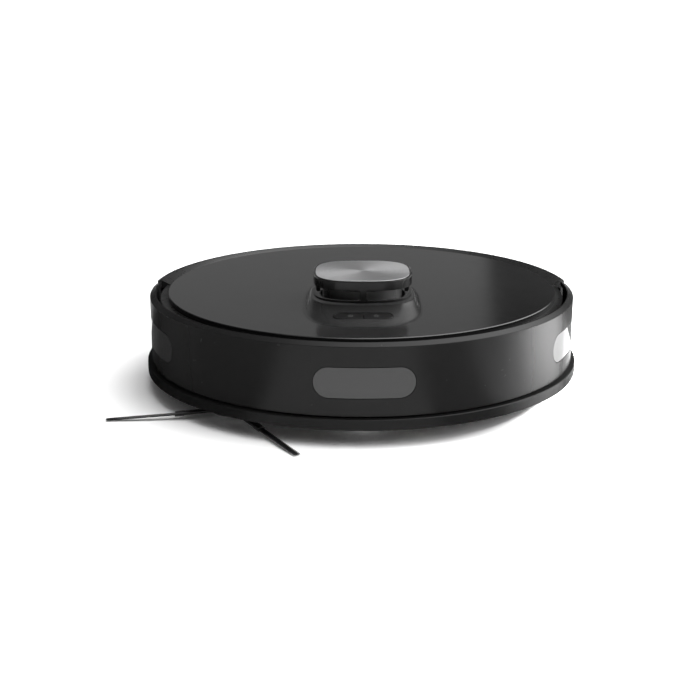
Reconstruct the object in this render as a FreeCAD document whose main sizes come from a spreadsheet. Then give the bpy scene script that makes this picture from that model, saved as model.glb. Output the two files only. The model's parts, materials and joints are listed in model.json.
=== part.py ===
"""Robot vacuum cleaner with a raised laser turret, one FreeCAD document.

Millimetres. +Z is up, the floor is z = 0, the drive direction (front) is -Y and the
origin lies on the floor under the axis of the round body.
"""
import FreeCAD
import Part
import Sketcher
import math
import os
import re
from FreeCAD import Placement, Rotation, Vector

doc = FreeCAD.newDocument("RobotVacuum")
sheet = doc.addObject("Spreadsheet::Sheet", "Sizes")

# Driving dimensions: alias, value, what it measures.
DIMENSIONS = [
    ("lip_radius", 175, "outermost edge, the skirt lip of the base"),
    ("body_radius", 171.5, "outside of the bumper and the rear wall"),
    ("under_z", 10, "ground clearance to the flat underside"),
    ("floor_top", 12.8, "inside face of the base floor"),
    ("lip_low", 13.6, "lower edge of the lip"),
    ("lip_high", 21.4, "top of the lip"),
    ("bumper_low", 22.2, "lower edge of the bumper"),
    ("rim_top", 76, "top of the bumper, rear rim and top panel"),
    ("deck_top", 71.8, "upper face of the deck"),
    ("deck_low", 69.3, "lower face of the deck"),
    ("panel_radius", 157, "round top panel"),
    ("core_radius", 163, "inner body wall behind the bumper"),
    ("core_inside", 160.5, "inside of the inner body wall"),
    ("bumper_wrap", 191, "degrees of the circle that the bumper covers"),
    ("rear_wrap", 164.8, "degrees of the circle that the rear wall covers"),
    ("window_length", 72.5, "sensor window along the bumper"),
    ("window_height", 22.4, "sensor window, top to bottom"),
    ("window_z", 47.3, "middle height of the sensor windows"),
    ("window_turn", 69.5, "degrees from the front window to a side window"),
    ("turret_y", -51.5, "axis of the laser turret"),
    ("hump_top", 82.9, "top of the hump that carries the turret"),
    ("hump_half_x", 46.5, "half width of the hump's foot"),
    ("hump_half_y", 77, "half length of the hump's foot"),
    ("guard_half_x", 38.1, "half width of the turret guard"),
    ("guard_half_y", 37.3, "half length of the turret guard"),
    ("guard_low", 84.1, "bottom of the turret guard"),
    ("gap_low", 85.9, "bottom of the turret's viewing gap"),
    ("gap_high", 93.6, "top of the turret's viewing gap"),
    ("guard_top", 100.8, "top of the turret guard"),
    ("inlay_half_x", 36.2, "half width of the metal inlay"),
    ("inlay_half_y", 35.4, "half length of the metal inlay"),
    ("pill_length", 45, "button bezel"),
    ("pill_width", 12, "button bezel"),
    ("wheel_radius", 32, "drive wheel over the tyre"),
    ("wheel_in", 111.5, "inner face of a drive wheel"),
    ("wheel_out", 133.5, "outer face of a drive wheel"),
    ("arm_in", 94, "inner face of a swing arm"),
    ("arm_out", 110, "outer face of a swing arm"),
    ("arm_pivot_y", 44, "hinge of the swing arms"),
    ("arm_pivot_z", 34, "hinge of the swing arms"),
    ("well_in", 92, "inner wall of a wheel well"),
    ("well_out", 141, "outer wall of a wheel well"),
    ("well_front", -38, "front wall of a wheel well"),
    ("well_back", 56, "back wall of a wheel well"),
    ("well_top", 67.5, "roof of a wheel well"),
    ("caster_y", -132, "swivel axis of the front caster"),
    ("caster_trail", 4, "caster axle behind its swivel axis"),
    ("caster_radius", 10.5, "caster wheel"),
    ("side_x", -98, "side brush axis"),
    ("side_y", -110, "side brush axis"),
    ("side_reach", 95, "side brush, axis to bristle tip"),
    ("side_collar", 43, "side brush, axis to the end of an arm"),
    ("side_turn", 183, "degrees, direction of the first arm"),
    ("brush_y", 4, "main brush axis"),
    ("brush_z", 23, "main brush axis"),
    ("brush_radius", 20, "main brush over its fins"),
    ("brush_half", 79.5, "half length of the main brush"),
    ("bay_half_x", 84, "half width of the brush bay"),
    ("bay_front", -26, "front wall of the brush bay"),
    ("bay_back", 36, "back wall of the brush bay"),
    ("bay_top", 45, "roof of the brush bay"),
    ("hinge_y", -22.6, "hinge of the brush guard"),
    ("hinge_z", 11.3, "hinge of the brush guard"),
    ("bin_half_x", 82, "half width of the dust bin"),
    ("bin_front", 42, "front wall of the dust bin"),
    ("bin_low", 24, "underside of the dust bin"),
    ("bin_high", 66.5, "rim of the dust bin"),
    ("fan_x", -111, "suction fan axis"),
    ("fan_y", 79, "suction fan axis"),
    ("fan_radius", 21, "outside of the fan housing"),
    ("battery_half_x", 38, "half width of the battery pack"),
    ("battery_front", -100, "front end of the battery pack"),
    ("battery_back", -34, "back end of the battery pack"),
]
ALIASES = set()
for row, (alias, number, meaning) in enumerate(DIMENSIONS, start=1):
    sheet.set("A%d" % row, alias)
    sheet.set("B%d" % row, str(number))
    sheet.set("C%d" % row, meaning)
    sheet.setAlias("B%d" % row, alias)
    ALIASES.add(alias)
doc.recompute()

RUN_FIT = 0.05       # radial clearance of a shaft in its bearing
NODES = []


# ---------------------------------------------------------------- helpers

def qualified(expression):
    """The expression with every alias written as a cell of the sheet."""
    def cell(match):
        word = match.group()
        return "Sizes." + word if word in ALIASES else word
    return re.sub(r"[a-z_]+", cell, str(expression))


def value(expression):
    """The number that an expression on the sheet gives."""
    return float(sheet.evalExpression(qualified(expression)))


def bind(thing, **sizes):
    """Bind properties of an object to expressions on the sheet."""
    for name, expression in sizes.items():
        thing.setExpression(name, qualified(expression))
    return thing


def move(thing, at):
    """Bind the object's place to three expressions."""
    for letter, expression in zip("xyz", at):
        thing.setExpression("Placement.Base." + letter, qualified(expression))
    return thing


def box(name, size, at, turn=0):
    """A box with its middle in x and y, and its underside in z, at a point."""
    thing = doc.addObject("Part::Box", name)
    bind(thing, Length=size[0], Width=size[1], Height=size[2])
    if turn:
        half = Vector(value(size[0]) / 2, value(size[1]) / 2, 0)
        rotation = Rotation(Vector(0, 0, 1), turn)
        corner = Vector(*[value(a) for a in at]) - rotation.multVec(half)
        thing.Placement = Placement(corner, rotation)
        return thing
    corner = ("(%s) - (%s) / 2" % (at[0], size[0]), "(%s) - (%s) / 2" % (at[1], size[1]), at[2])
    return move(thing, corner)


def block(name, x_span, y_span, z_span):
    """A box given by its limits along each axis."""
    thing = doc.addObject("Part::Box", name)
    spans = (x_span, y_span, z_span)
    lengths = ["(%s) - (%s)" % (high, low) for low, high in spans]
    bind(thing, Length=lengths[0], Width=lengths[1], Height=lengths[2])
    return move(thing, [low for low, high in spans])


def rod(name, radius, start, length, axis="z"):
    """A cylinder from a start point along an axis."""
    thing = doc.addObject("Part::Cylinder", name)
    bind(thing, Radius=radius, Height=length)
    turns = {"x": Rotation(Vector(0, 1, 0), 90), "y": Rotation(Vector(1, 0, 0), -90), "z": Rotation()}
    thing.Placement = Placement(Vector(), turns[axis])
    return move(thing, start)


def fuse(name, *things):
    """One solid from several that meet."""
    result = doc.addObject("Part::MultiFuse", name)
    result.Shapes = list(things)
    result.Refine = True
    return result


def common(name, *things):
    """What several solids share."""
    result = doc.addObject("Part::MultiCommon", name)
    result.Shapes = list(things)
    return result


def cut(name, base, *tools):
    """A solid with one or more others taken away."""
    result = doc.addObject("Part::Cut", name)
    result.Base = base
    result.Tool = tools[0] if len(tools) == 1 else fuse(name + "_tools", *tools)
    result.Refine = True
    return result


def feature(name, shape, at=None):
    """A shape made with Part's own functions."""
    thing = doc.addObject("Part::Feature", name)
    thing.Shape = shape
    if at is not None:
        thing.Placement = at
    return thing


def rounded(name, solid, edges, radius):
    """A solid with some edges rounded."""
    doc.recompute()
    result = doc.addObject("Part::Fillet", name)
    result.Base = solid
    result.Edges = [(number, radius, radius) for number in edges]
    return result


def keep(thing, label):
    """Register a finished sub-part under the name of its file."""
    thing.Label = label
    NODES.append(thing)
    return thing


def profile(body, name, plane, outline):
    """A closed sketch of straight lines, each corner bound to two expressions."""
    sketch = body.newObject("Sketcher::SketchObject", name)
    origin = [item for item in body.Origin.OriginFeatures if item.Role == plane][0]
    sketch.AttachmentSupport = [(origin, "")]
    sketch.MapMode = "FlatFace"
    corners = [Vector(value(x), value(y), 0) for x, y in outline]
    count = len(corners)
    for index in range(count):
        sketch.addGeometry(Part.LineSegment(corners[index], corners[(index + 1) % count]), False)
    for index in range(count):
        following = (index + 1) % count
        sketch.addConstraint(Sketcher.Constraint("Coincident", index, 2, following, 1))
    for index, (x, y) in enumerate(outline):
        for kind, letter, expression in (("DistanceX", "a", x), ("DistanceY", "b", y)):
            rule = Sketcher.Constraint(kind, -1, 1, index, 1, value(expression))
            number = sketch.addConstraint(rule)
            sketch.renameConstraint(number, "%s%d" % (letter, index))
            sketch.setExpression("Constraints.%s%d" % (letter, index), qualified(expression))
    return sketch


def turned(label, outline, wrap=None):
    """A solid of revolution about the body's Z axis from (radius, height) corners.

    With a wrap, it covers that many degrees, centred on -Y.
    """
    body = doc.addObject("PartDesign::Body", label)
    sketch = profile(body, label + "_profile", "XZ_Plane", outline)
    spin = body.newObject("PartDesign::Revolution", label + "_turn")
    spin.Profile = sketch
    spin.ReferenceAxis = (sketch, ["V_Axis"])
    if wrap is None:
        spin.Angle = 360
    else:
        spin.Midplane = True
        spin.setExpression("Angle", qualified(wrap))
        body.Placement = Placement(Vector(), Rotation(Vector(0, 0, 1), -90))
    sketch.Visibility = False
    return body


def squircle(half_x, half_y, middle_y, z, power=3.0, points=32):
    """A closed smooth outline between an ellipse and a rectangle."""
    corners = []
    for step in range(points):
        angle = 2 * math.pi * step / points
        c, s = math.cos(angle), math.sin(angle)
        x = half_x * math.copysign(abs(c) ** (2 / power), c)
        y = half_y * math.copysign(abs(s) ** (2 / power), s)
        corners.append(Vector(x, middle_y + y, z))
    curve = Part.BSplineCurve()
    curve.interpolate(Points=corners, PeriodicFlag=True)
    return Part.Wire([curve.toShape()])


def squircle_block(name, half_x, half_y, low, high, inset=0):
    """An upright squircle prism about the turret axis."""
    outline = squircle(value(half_x) - inset, value(half_y) - inset, value("turret_y"), value(low))
    face = Part.Face(outline)
    return feature(name, face.extrude(Vector(0, 0, value(high) - value(low))))


def belt_band(distance, radius_a, radius_b, width, thickness):
    """A flat belt round two pulleys, the first at the origin, the second along +X."""
    def loop(extra):
        ra, rb = radius_a + extra, radius_b + extra
        tilt = math.acos((ra - rb) / distance)
        c, s = math.cos(tilt), math.sin(tilt)
        a_up, b_up = Vector(ra * c, ra * s, 0), Vector(distance + rb * c, rb * s, 0)
        a_down, b_down = Vector(ra * c, -ra * s, 0), Vector(distance + rb * c, -rb * s, 0)
        far_a, far_b = Vector(-ra, 0, 0), Vector(distance + rb, 0, 0)
        edges = [Part.LineSegment(a_up, b_up).toShape(), Part.Arc(b_up, far_b, b_down).toShape(),
                 Part.LineSegment(b_down, a_down).toShape(), Part.Arc(a_down, far_a, a_up).toShape()]
        return Part.Wire(edges)
    band = Part.Face(loop(thickness)).cut(Part.Face(loop(0)))
    return band.extrude(Vector(0, 0, width))


def polar(radius, degrees):
    """The x and y of a point at a radius and an angle from +X."""
    return radius * math.cos(math.radians(degrees)), radius * math.sin(math.radians(degrees))


# ---------------------------------------------------------------- shared places

SIDES = (("left", -1), ("right", 1))
SCREW_PLACES = [(75, -130), (-75, -130), (150, -20), (-150, -20), (95, 118), (-95, 118)]
CLIFF_PLACES = [(66, -140), (-66, -140), (147, -53), (-147, -53)]
CONTACT_PLACES = [(38, -148), (-38, -148)]
CLIFF_SIZE = (13, 6)
CONTACT_SIZE = (22, 8)
POST_RADIUS = 4
SCREW_HEAD = 3.2
SCREW_SHANK = 1.4


def span(side, near, far):
    """The x limits of something on one side, from distances off the centre line."""
    return (near, far) if side > 0 else ("-(%s)" % far, "-(%s)" % near)


# ---------------------------------------------------------------- base

def make_base():
    """Base tray: floor, lip, and a low wall, with every opening in the floor."""
    tray = turned("base_tray", [
        ("0", "under_z"), ("165.8", "under_z"), ("lip_radius", "lip_low"),
        ("lip_radius", "lip_high - 0.5"), ("lip_radius - 0.5", "lip_high"),
        ("core_radius", "lip_high"), ("core_radius", "44"), ("core_inside", "44"),
        ("core_inside", "floor_top"), ("0", "floor_top")])
    through = ("under_z - 1", "floor_top + 0.1")
    tools = []
    for name, side in SIDES:
        x_span = span(side, "well_in + 1.5", "well_out - 1.5")
        y_span = ("well_front + 1.5", "well_back - 1.5")
        tools.append(block("wheel_slot_" + name, x_span, y_span, through))
    tools.append(block("brush_slot", ("-bay_half_x", "bay_half_x"), ("bay_front + 1", "bay_back - 0.5"), through))
    tools.append(rod("hinge_holes", "0.8 + %s" % RUN_FIT, ("-bay_half_x - 2.2", "hinge_y", "hinge_z"),
                     "2 * bay_half_x + 4.4", "x"))
    tools.append(block("battery_slot", ("-battery_half_x - 3", "battery_half_x + 3"),
                       ("battery_front - 3", "battery_back + 3"), through))
    tools.append(block("bin_gap", ("-bin_half_x - 0.5", "bin_half_x + 0.5"), ("bin_front + 60", "200"),
                       ("bin_low - 0.5", "50")))
    tools.append(rod("caster_hole", "19.1", ("0", "caster_y", "under_z - 1"), "10"))
    tools.append(rod("side_brush_hole", "4", ("side_x", "side_y", "under_z - 1"), "10"))
    for index, (x, y) in enumerate(SCREW_PLACES):
        tools.append(rod("screw_hole_%d" % index, SCREW_SHANK + 0.2, (x, y, "under_z - 1"), "6"))
        tools.append(rod("screw_sink_%d" % index, SCREW_HEAD + 0.2, (x, y, "under_z - 1"), "2.9"))
    for index, (x, y) in enumerate(CLIFF_PLACES):
        size = (CLIFF_SIZE[0] + 0.4, CLIFF_SIZE[1] + 0.4, "10")
        tools.append(box("cliff_slot_%d" % index, size, (x, y, "under_z - 1"), cliff_turn(x, y)))
    for index, (x, y) in enumerate(CONTACT_PLACES):
        size = (CONTACT_SIZE[0] + 0.4, CONTACT_SIZE[1] + 0.4, "10")
        tools.append(box("contact_slot_%d" % index, size, (x, y, "under_z - 1")))
    keep(cut("base", tray, *tools), "base_shell")


def cliff_turn(x, y):
    """The angle that lays a window across the radius through its place."""
    return math.degrees(math.atan2(y, x)) + 90


def make_base_trim():
    """Screws, contact plates and cliff sensor windows in the floor."""
    screws = []
    for index, (x, y) in enumerate(SCREW_PLACES):
        head = rod("head_%d" % index, SCREW_HEAD, (x, y, "under_z + 0.3"), "1.5")
        shank = rod("shank_%d" % index, SCREW_SHANK, (x, y, "under_z + 1.5"), "10")
        recess = box("cross_%d" % index, ("3.4", "0.8", "1"), (x, y, "under_z"))
        cross = box("cross_b_%d" % index, ("0.8", "3.4", "1"), (x, y, "under_z"))
        screws.append(cut("screw_%d" % index, fuse("blank_%d" % index, head, shank), recess, cross))
    keep(group("screws", screws), "base_screws")
    windows = []
    for index, (x, y) in enumerate(CLIFF_PLACES):
        size = (CLIFF_SIZE[0], CLIFF_SIZE[1], "2.4")
        windows.append(box("cliff_%d" % index, size, (x, y, "under_z + 0.2"), cliff_turn(x, y)))
    keep(group("cliffs", windows), "cliff_sensor_windows")
    pads = []
    for index, (x, y) in enumerate(CONTACT_PLACES):
        pads.append(box("contact_%d" % index, (CONTACT_SIZE[0], CONTACT_SIZE[1], "2.6"), (x, y, "under_z - 0.4")))
    keep(group("contacts", pads), "charging_contacts")


def group(name, solids):
    """Separate solids in one sub-part."""
    result = doc.addObject("Part::Compound", name)
    result.Links = solids
    return result


# ---------------------------------------------------------------- upper body

def make_upper_housing():
    """Deck, inner wall and the full-height rear wall with its sloped rim."""
    core = turned("deck_core", [
        ("0", "deck_low"), ("core_inside", "deck_low"), ("core_inside", "44.2"),
        ("core_radius", "44.2"), ("core_radius", "deck_top"), ("0", "deck_top")])
    rear = turned("rear_wall", [
        ("core_radius - 1", "lip_high + 0.2"), ("body_radius", "lip_high + 0.2"),
        ("body_radius", "rim_top - 0.8"), ("body_radius - 0.8", "rim_top"),
        ("body_radius - 3.2", "rim_top"), ("core_radius - 2.4", "deck_top + 0.2"),
        ("core_radius - 2.4", "deck_low + 0.5"), ("body_radius - 2.8", "deck_low"),
        ("body_radius - 2.8", "lip_high + 3"), ("core_radius - 1", "lip_high + 3")], "rear_wrap")
    rear.Placement = Placement(Vector(), Rotation(Vector(0, 0, 1), 90))
    # The base's low wall stands inside the rear wall's foot.
    foot = turned("foot_clearance", [
        ("core_inside - 0.5", "lip_high - 1"), ("core_radius + 0.1", "lip_high - 1"),
        ("core_radius + 0.1", "44.1"), ("core_inside - 0.5", "44.1")])
    posts = []
    bores = []
    for index, (x, y) in enumerate(SCREW_PLACES):
        posts.append(rod("post_%d" % index, POST_RADIUS, (x, y, "floor_top + 0.05"), "deck_top - floor_top - 1"))
        bores.append(rod("post_bore_%d" % index, SCREW_SHANK, (x, y, "floor_top - 1"), "11"))
    turret_hole = rod("turret_hole", "38", ("0", "turret_y", "deck_low - 1"), "6")
    bin_mouth = block("bin_mouth", ("-bin_half_x - 0.5", "bin_half_x + 0.5"),
                      ("bin_front + 60", "200"), ("bin_low - 0.5", "deck_low - 0.001"))
    slots = []
    for index in range(7):
        turn = 128 + 3.2 * index
        x, y = polar(value("body_radius"), turn)
        slots.append(box("exhaust_%d" % index, ("14", "3.2", "22"), (x, y, "31"), turn))
    whole = fuse("upper_blank", core, cut("rear_cleared", rear, foot), *posts)
    keep(cut("upper", whole, turret_hole, bin_mouth, *(slots + bores)), "upper_housing")


def make_top_panel():
    """Flush round panel, a shallow cap on the deck."""
    disc = turned("panel_disc", [
        ("0", "rim_top - 2.2"), ("panel_radius - 2.5", "rim_top - 2.2"),
        ("panel_radius - 2.5", "deck_top + 0.1"), ("panel_radius", "deck_top + 0.1"),
        ("panel_radius", "rim_top - 0.9"), ("panel_radius - 0.9", "rim_top"), ("0", "rim_top")])
    hole = rod("panel_hole", "38", ("0", "turret_y", "deck_top"), "8")
    keep(cut("panel", disc, hole), "top_panel")


def slope_frame():
    """Place of the button bezel: the middle of the hump's front slope, normal along local Z."""
    foot = value("turret_y") - value("hump_half_y")
    crest = value("turret_y") - 39.0
    rise = value("hump_top") - value("rim_top")
    tilt = math.degrees(math.atan2(rise, crest - foot))
    middle = Vector(0, foot + 0.53 * (crest - foot), value("rim_top") + 0.53 * rise)
    return Placement(middle, Rotation(Vector(1, 0, 0), tilt))


def pill(name, length, width, low, high):
    """A flat plate with two round ends, lying along X about the origin."""
    height = "(%s) - (%s)" % (high, low)
    middle = box(name + "_middle", ("(%s) - (%s)" % (length, width), width, height), ("0", "0", low))
    ends = []
    for sign in ("-", ""):
        at = ("%s((%s) - (%s)) / 2" % (sign, length, width), "0", low)
        ends.append(rod(name + "_end" + str(len(ends)), "(%s) / 2" % width, at, height))
    return fuse(name, middle, *ends)


def make_hump():
    """Raised foot of the turret, with a pocket for the buttons in its front slope."""
    turret = value("turret_y")
    foot = squircle(value("hump_half_x"), value("hump_half_y"), turret, value("rim_top"))
    crest = squircle(40.2, 39.2, turret, value("hump_top"))
    mound = feature("hump_mound", Part.makeLoft([foot, crest], True, True))
    pocket = pill("hump_pocket", "pill_length + 0.2", "pill_width + 0.2", "-2.3", "3")
    pocket.Placement = slope_frame()
    hole = rod("hump_hole", "33.5", ("0", "turret_y", "rim_top - 1"), "10")
    keep(cut("hump", mound, hole, pocket), "turret_hump")


def make_buttons():
    """Bezel ring and two half-pill buttons, flush with the slope."""
    outer = pill("bezel_outer", "pill_length", "pill_width", "-2.2", "-0.1")
    inner = pill("bezel_inner", "pill_length - 1.8", "pill_width - 1.8", "-3", "1")
    bezel = cut("bezel", outer, inner)
    bezel.Placement = slope_frame()
    keep(bezel, "button_bezel")
    for label, x_span in (("power_button", ("-30", "-0.25")), ("dock_button", ("0.25", "30"))):
        whole = pill(label + "_blank", "pill_length - 2.2", "pill_width - 2.2", "-1.5", "-0.2")
        half = block(label + "_half", x_span, ("-10", "10"), ("-3", "1"))
        button = common(label + "_solid", whole, half)
        button.Placement = slope_frame()
        keep(button, label)


# ---------------------------------------------------------------- laser turret

def make_turret():
    """Guard with four posts round the laser, and the metal inlay in its top."""
    outer = squircle_block("guard_outer", "guard_half_x", "guard_half_y", "guard_low", "guard_top")
    hollow = squircle_block("guard_hollow", "guard_half_x", "guard_half_y", "guard_low - 1", "gap_high + 2.6", 2.6)
    band = block("gap_band", ("-60", "60"), ("turret_y - 60", "turret_y + 60"), ("gap_low", "gap_high"))
    post_x = block("gap_post_x", ("-60", "60"), ("turret_y - 2.5", "turret_y + 2.5"), ("gap_low - 1", "gap_high + 1"))
    post_y = block("gap_post_y", ("-2.5", "2.5"), ("turret_y - 60", "turret_y + 60"), ("gap_low - 1", "gap_high + 1"))
    gaps = cut("guard_gaps", band, post_x, post_y)
    recess = squircle_block("inlay_recess", "inlay_half_x", "inlay_half_y", "guard_top - 0.6", "guard_top + 1", -0.1)
    keep(cut("guard", outer, hollow, gaps, recess), "turret_guard")
    keep(squircle_block("inlay", "inlay_half_x", "inlay_half_y", "guard_top - 0.6", "guard_top + 0.1"),
         "turret_cap_inlay")


def make_laser():
    """Laser scanner: fixed base and bearing, turning drum, motor, pulley and belt."""
    groove = "22"
    motor_x, motor_y = 34.0, -18.0
    plate = block("laser_plate", ("-46", "46"), ("turret_y - 44", "turret_y + 44"), ("60", "62"))
    boss = rod("laser_boss", "10", ("0", "turret_y", "61"), "14.5")
    shaft_hole = rod("laser_shaft_hole", "2", (motor_x, motor_y, "58"), "6")
    keep(cut("laser_base_solid", fuse("laser_base_blank", plate, boss), shaft_hole), "lidar_base")
    ring = rod("bearing_ring", "14", ("0", "turret_y", "66"), "7")
    ring_bore = rod("bearing_bore", "10", ("0", "turret_y", "65"), "9")
    keep(cut("bearing", ring, ring_bore), "lidar_bearing")
    drum = turned("drum", [
        ("14 + 0.05", "64"), ("24", "64"), ("24", "65"), (groove, "65.6"), (groove, "68.4"), ("24", "69"),
        ("24", "70"), ("30", "75"), ("31", "76.5"), ("31", "gap_high - 2.4"), ("30", "gap_high - 1.4"),
        ("0", "gap_high - 1.4"), ("0", "77"), ("14 + 0.05", "77")])
    move(drum, ("0", "turret_y", "0"))
    keep(drum, "lidar_drum")
    can = rod("laser_motor_can", "8", (motor_x, motor_y, "47.4"), "12.5")
    stub = rod("laser_motor_shaft", "1.5", (motor_x, motor_y, "59"), "10")
    keep(fuse("laser_motor", can, stub), "lidar_motor")
    wheel = turned("laser_pulley", [
        ("1.55", "64.5"), ("5", "64.5"), ("5", "65.2"), ("3.5", "65.6"), ("3.5", "68.4"), ("5", "68.8"),
        ("5", "69.1"), ("1.55", "69.1")])
    wheel.Placement = Placement(Vector(motor_x, motor_y, 0), Rotation())
    keep(wheel, "lidar_motor_pulley")
    offset = Vector(motor_x, motor_y - value("turret_y"), 0)
    band = belt_band(offset.Length, value(groove) + 0.1, 3.6, 2.2, 0.8)
    turn = Rotation(Vector(1, 0, 0), offset)
    keep(feature("laser_belt", band, Placement(Vector(0, value("turret_y"), 65.9), turn)), "lidar_belt")


# ---------------------------------------------------------------- bumper

def window_block(name, length, height, near, far, turn):
    """A radial prism with the pill outline of a sensor window."""
    straight = "(%s) - (%s)" % (length, height)
    radius = "(%s) / 2" % height
    middle = block(name + "_middle", ("-(%s) / 2" % straight, "(%s) / 2" % straight),
                   ("-(%s)" % far, "-(%s)" % near), ("window_z - %s" % radius, "window_z + %s" % radius))
    ends = []
    for sign in ("-", ""):
        at = ("%s(%s) / 2" % (sign, straight), "-(%s)" % far, "window_z")
        ends.append(rod(name + "_end%d" % len(ends), radius, at, "(%s) - (%s)" % (far, near), "y"))
    prism = fuse(name, middle, *ends)
    prism.Placement = Placement(Vector(), Rotation(Vector(0, 0, 1), turn))
    return prism


def make_bumper():
    """Wrap-round bumper with a chamfered top edge and three sensor windows."""
    shell = turned("bumper_wall", [
        ("body_radius - 2.8", "bumper_low"), ("body_radius - 0.4", "bumper_low"),
        ("body_radius", "bumper_low + 0.4"), ("body_radius", "rim_top - 2.35"),
        ("body_radius - 4.1", "rim_top"), ("body_radius - 5", "rim_top"),
        ("body_radius - 5", "deck_top + 0.6"), ("body_radius - 2.8", "deck_top - 1.6")], "bumper_wrap")
    depth = 1.3
    turns = (("front", "0"), ("left", "-window_turn"), ("right", "window_turn"))
    pockets = []
    for name, turn in turns:
        prism = window_block("pocket_" + name, "window_length + 0.7", "window_height + 0.7",
                             "body_radius - 20", "body_radius + 5", value(turn))
        ring = turned("pocket_ring_" + name, [
            ("body_radius - %s" % depth, "30"), ("body_radius + 2", "30"),
            ("body_radius + 2", "64"), ("body_radius - %s" % depth, "64")])
        pockets.append(common("pocket_solid_" + name, ring, prism))
    keep(cut("bumper", shell, *pockets), "bumper_shell")
    for name, turn in turns:
        prism = window_block("pane_" + name, "window_length", "window_height",
                             "body_radius - 20", "body_radius + 5", value(turn))
        ring = turned("pane_ring_" + name, [
            ("body_radius - %s" % depth, "30"), ("body_radius - 0.1", "30"),
            ("body_radius - 0.1", "64"), ("body_radius - %s" % depth, "64")])
        keep(common("pane_solid_" + name, ring, prism), "bumper_window_" + name)


# ---------------------------------------------------------------- drive wheels

def make_drive(name, side):
    """One drive module: well, swing arm, motor, torsion spring, hub and tyre."""
    outer = block("well_outer_" + name, span(side, "well_in", "well_out"),
                  ("well_front", "well_back"), ("floor_top", "well_top"))
    inner = block("well_inner_" + name, span(side, "well_in + 1.5", "well_out - 1.5"),
                  ("well_front + 1.5", "well_back - 1.5"), ("floor_top - 1", "well_top - 1.5"))
    pin_span = span(side, "well_in + 1", "wheel_out - 3")
    pin = rod("arm_pin_" + name, "2.5", (pin_span[0], "arm_pivot_y", "arm_pivot_z"),
              "(%s) - (%s)" % (pin_span[1], pin_span[0]), "x")
    lug = block("pin_lug_" + name, span(side, "wheel_out - 6", "wheel_out - 3"),
                ("arm_pivot_y - 4", "well_back - 1"), ("arm_pivot_z - 5", "arm_pivot_z + 5"))
    keep(fuse("well_" + name, cut("well_shell_" + name, outer, inner), pin, lug), "wheel_well_" + name)

    arm_span = span(side, "arm_in", "arm_out")
    width = "arm_out - arm_in"
    nose = rod("arm_nose_" + name, "14", (arm_span[0], "0", "wheel_radius"), width, "x")
    heel = rod("arm_heel_" + name, "8", (arm_span[0], "arm_pivot_y", "arm_pivot_z"), width, "x")
    beam = block("arm_beam_" + name, arm_span, ("0", "arm_pivot_y"), ("24", "42"))
    can = rod("arm_can_" + name, "13.4", (arm_span[0], "22", "36"), width, "x")
    axle_span = span(side, "arm_out - 1", "wheel_out - 3")
    axle = rod("arm_axle_" + name, "3", (axle_span[0], "0", "wheel_radius"), "wheel_out - arm_out - 2", "x")
    pin_bore = rod("arm_bore_" + name, "2.5 + %s" % RUN_FIT, (arm_span[0], "arm_pivot_y", "arm_pivot_z"),
                   width, "x")
    motor_span = span(side, "arm_in", "arm_out - 2")
    motor_length = "arm_out - arm_in - 2"
    motor_bore = rod("motor_bore_" + name, "11.8", (motor_span[0], "22", "36"), motor_length, "x")
    keep(cut("arm_" + name, fuse("arm_blank_" + name, nose, heel, beam, can, axle), pin_bore, motor_bore),
         "swing_arm_" + name)
    keep(rod("motor_" + name, "11.8", (motor_span[0], "22", "36"), motor_length, "x"), "drive_motor_" + name)

    coil_start, coil_end = span(side, "arm_out + 1", "arm_out + 13")
    helix = Part.makeHelix(2.0, 12, 4.4)
    start = helix.Vertexes[0].Point
    section = Part.Wire([Part.makeCircle(0.6, start, Vector(0, 1, 0))])
    coil = Part.Wire(helix.Edges).makePipeShell([section], True, True)
    at = Vector(value(coil_start), value("arm_pivot_y"), value("arm_pivot_z"))
    keep(feature("coil_" + name, coil, Placement(at, Rotation(Vector(0, 1, 0), 90))), "suspension_spring_" + name)

    hub_span = span(side, "wheel_in", "wheel_out - 2")
    hub = rod("hub_disc_" + name, "26", (hub_span[0], "0", "wheel_radius"), "wheel_out - wheel_in - 2", "x")
    dish_span = span(side, "wheel_out - 6", "wheel_out")
    dish = cut("hub_dish_" + name,
               rod("dish_outer_" + name, "23", (dish_span[0], "0", "wheel_radius"), "6", "x"),
               rod("dish_inner_" + name, "8", (dish_span[0], "0", "wheel_radius"), "6", "x"))
    bore = rod("hub_bore_" + name, "3 + %s" % RUN_FIT, (hub_span[0], "0", "wheel_radius"),
               "wheel_out - wheel_in", "x")
    keep(cut("hub_" + name, hub, dish, bore), "wheel_hub_" + name)

    tyre = turned("tyre_" + name, [
        ("26", "0"), ("wheel_radius - 1.6", "0"), ("wheel_radius", "1.6"),
        ("wheel_radius", "wheel_out - wheel_in - 1.6"), ("wheel_radius - 1.6", "wheel_out - wheel_in"),
        ("26", "wheel_out - wheel_in")])
    tyre.Placement = Placement(Vector(), Rotation(Vector(0, 1, 0), 90))
    move(tyre, (span(side, "wheel_in", "wheel_out")[0], "0", "wheel_radius"))
    keep(tyre, "tyre_" + name)


# ---------------------------------------------------------------- front caster

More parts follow.
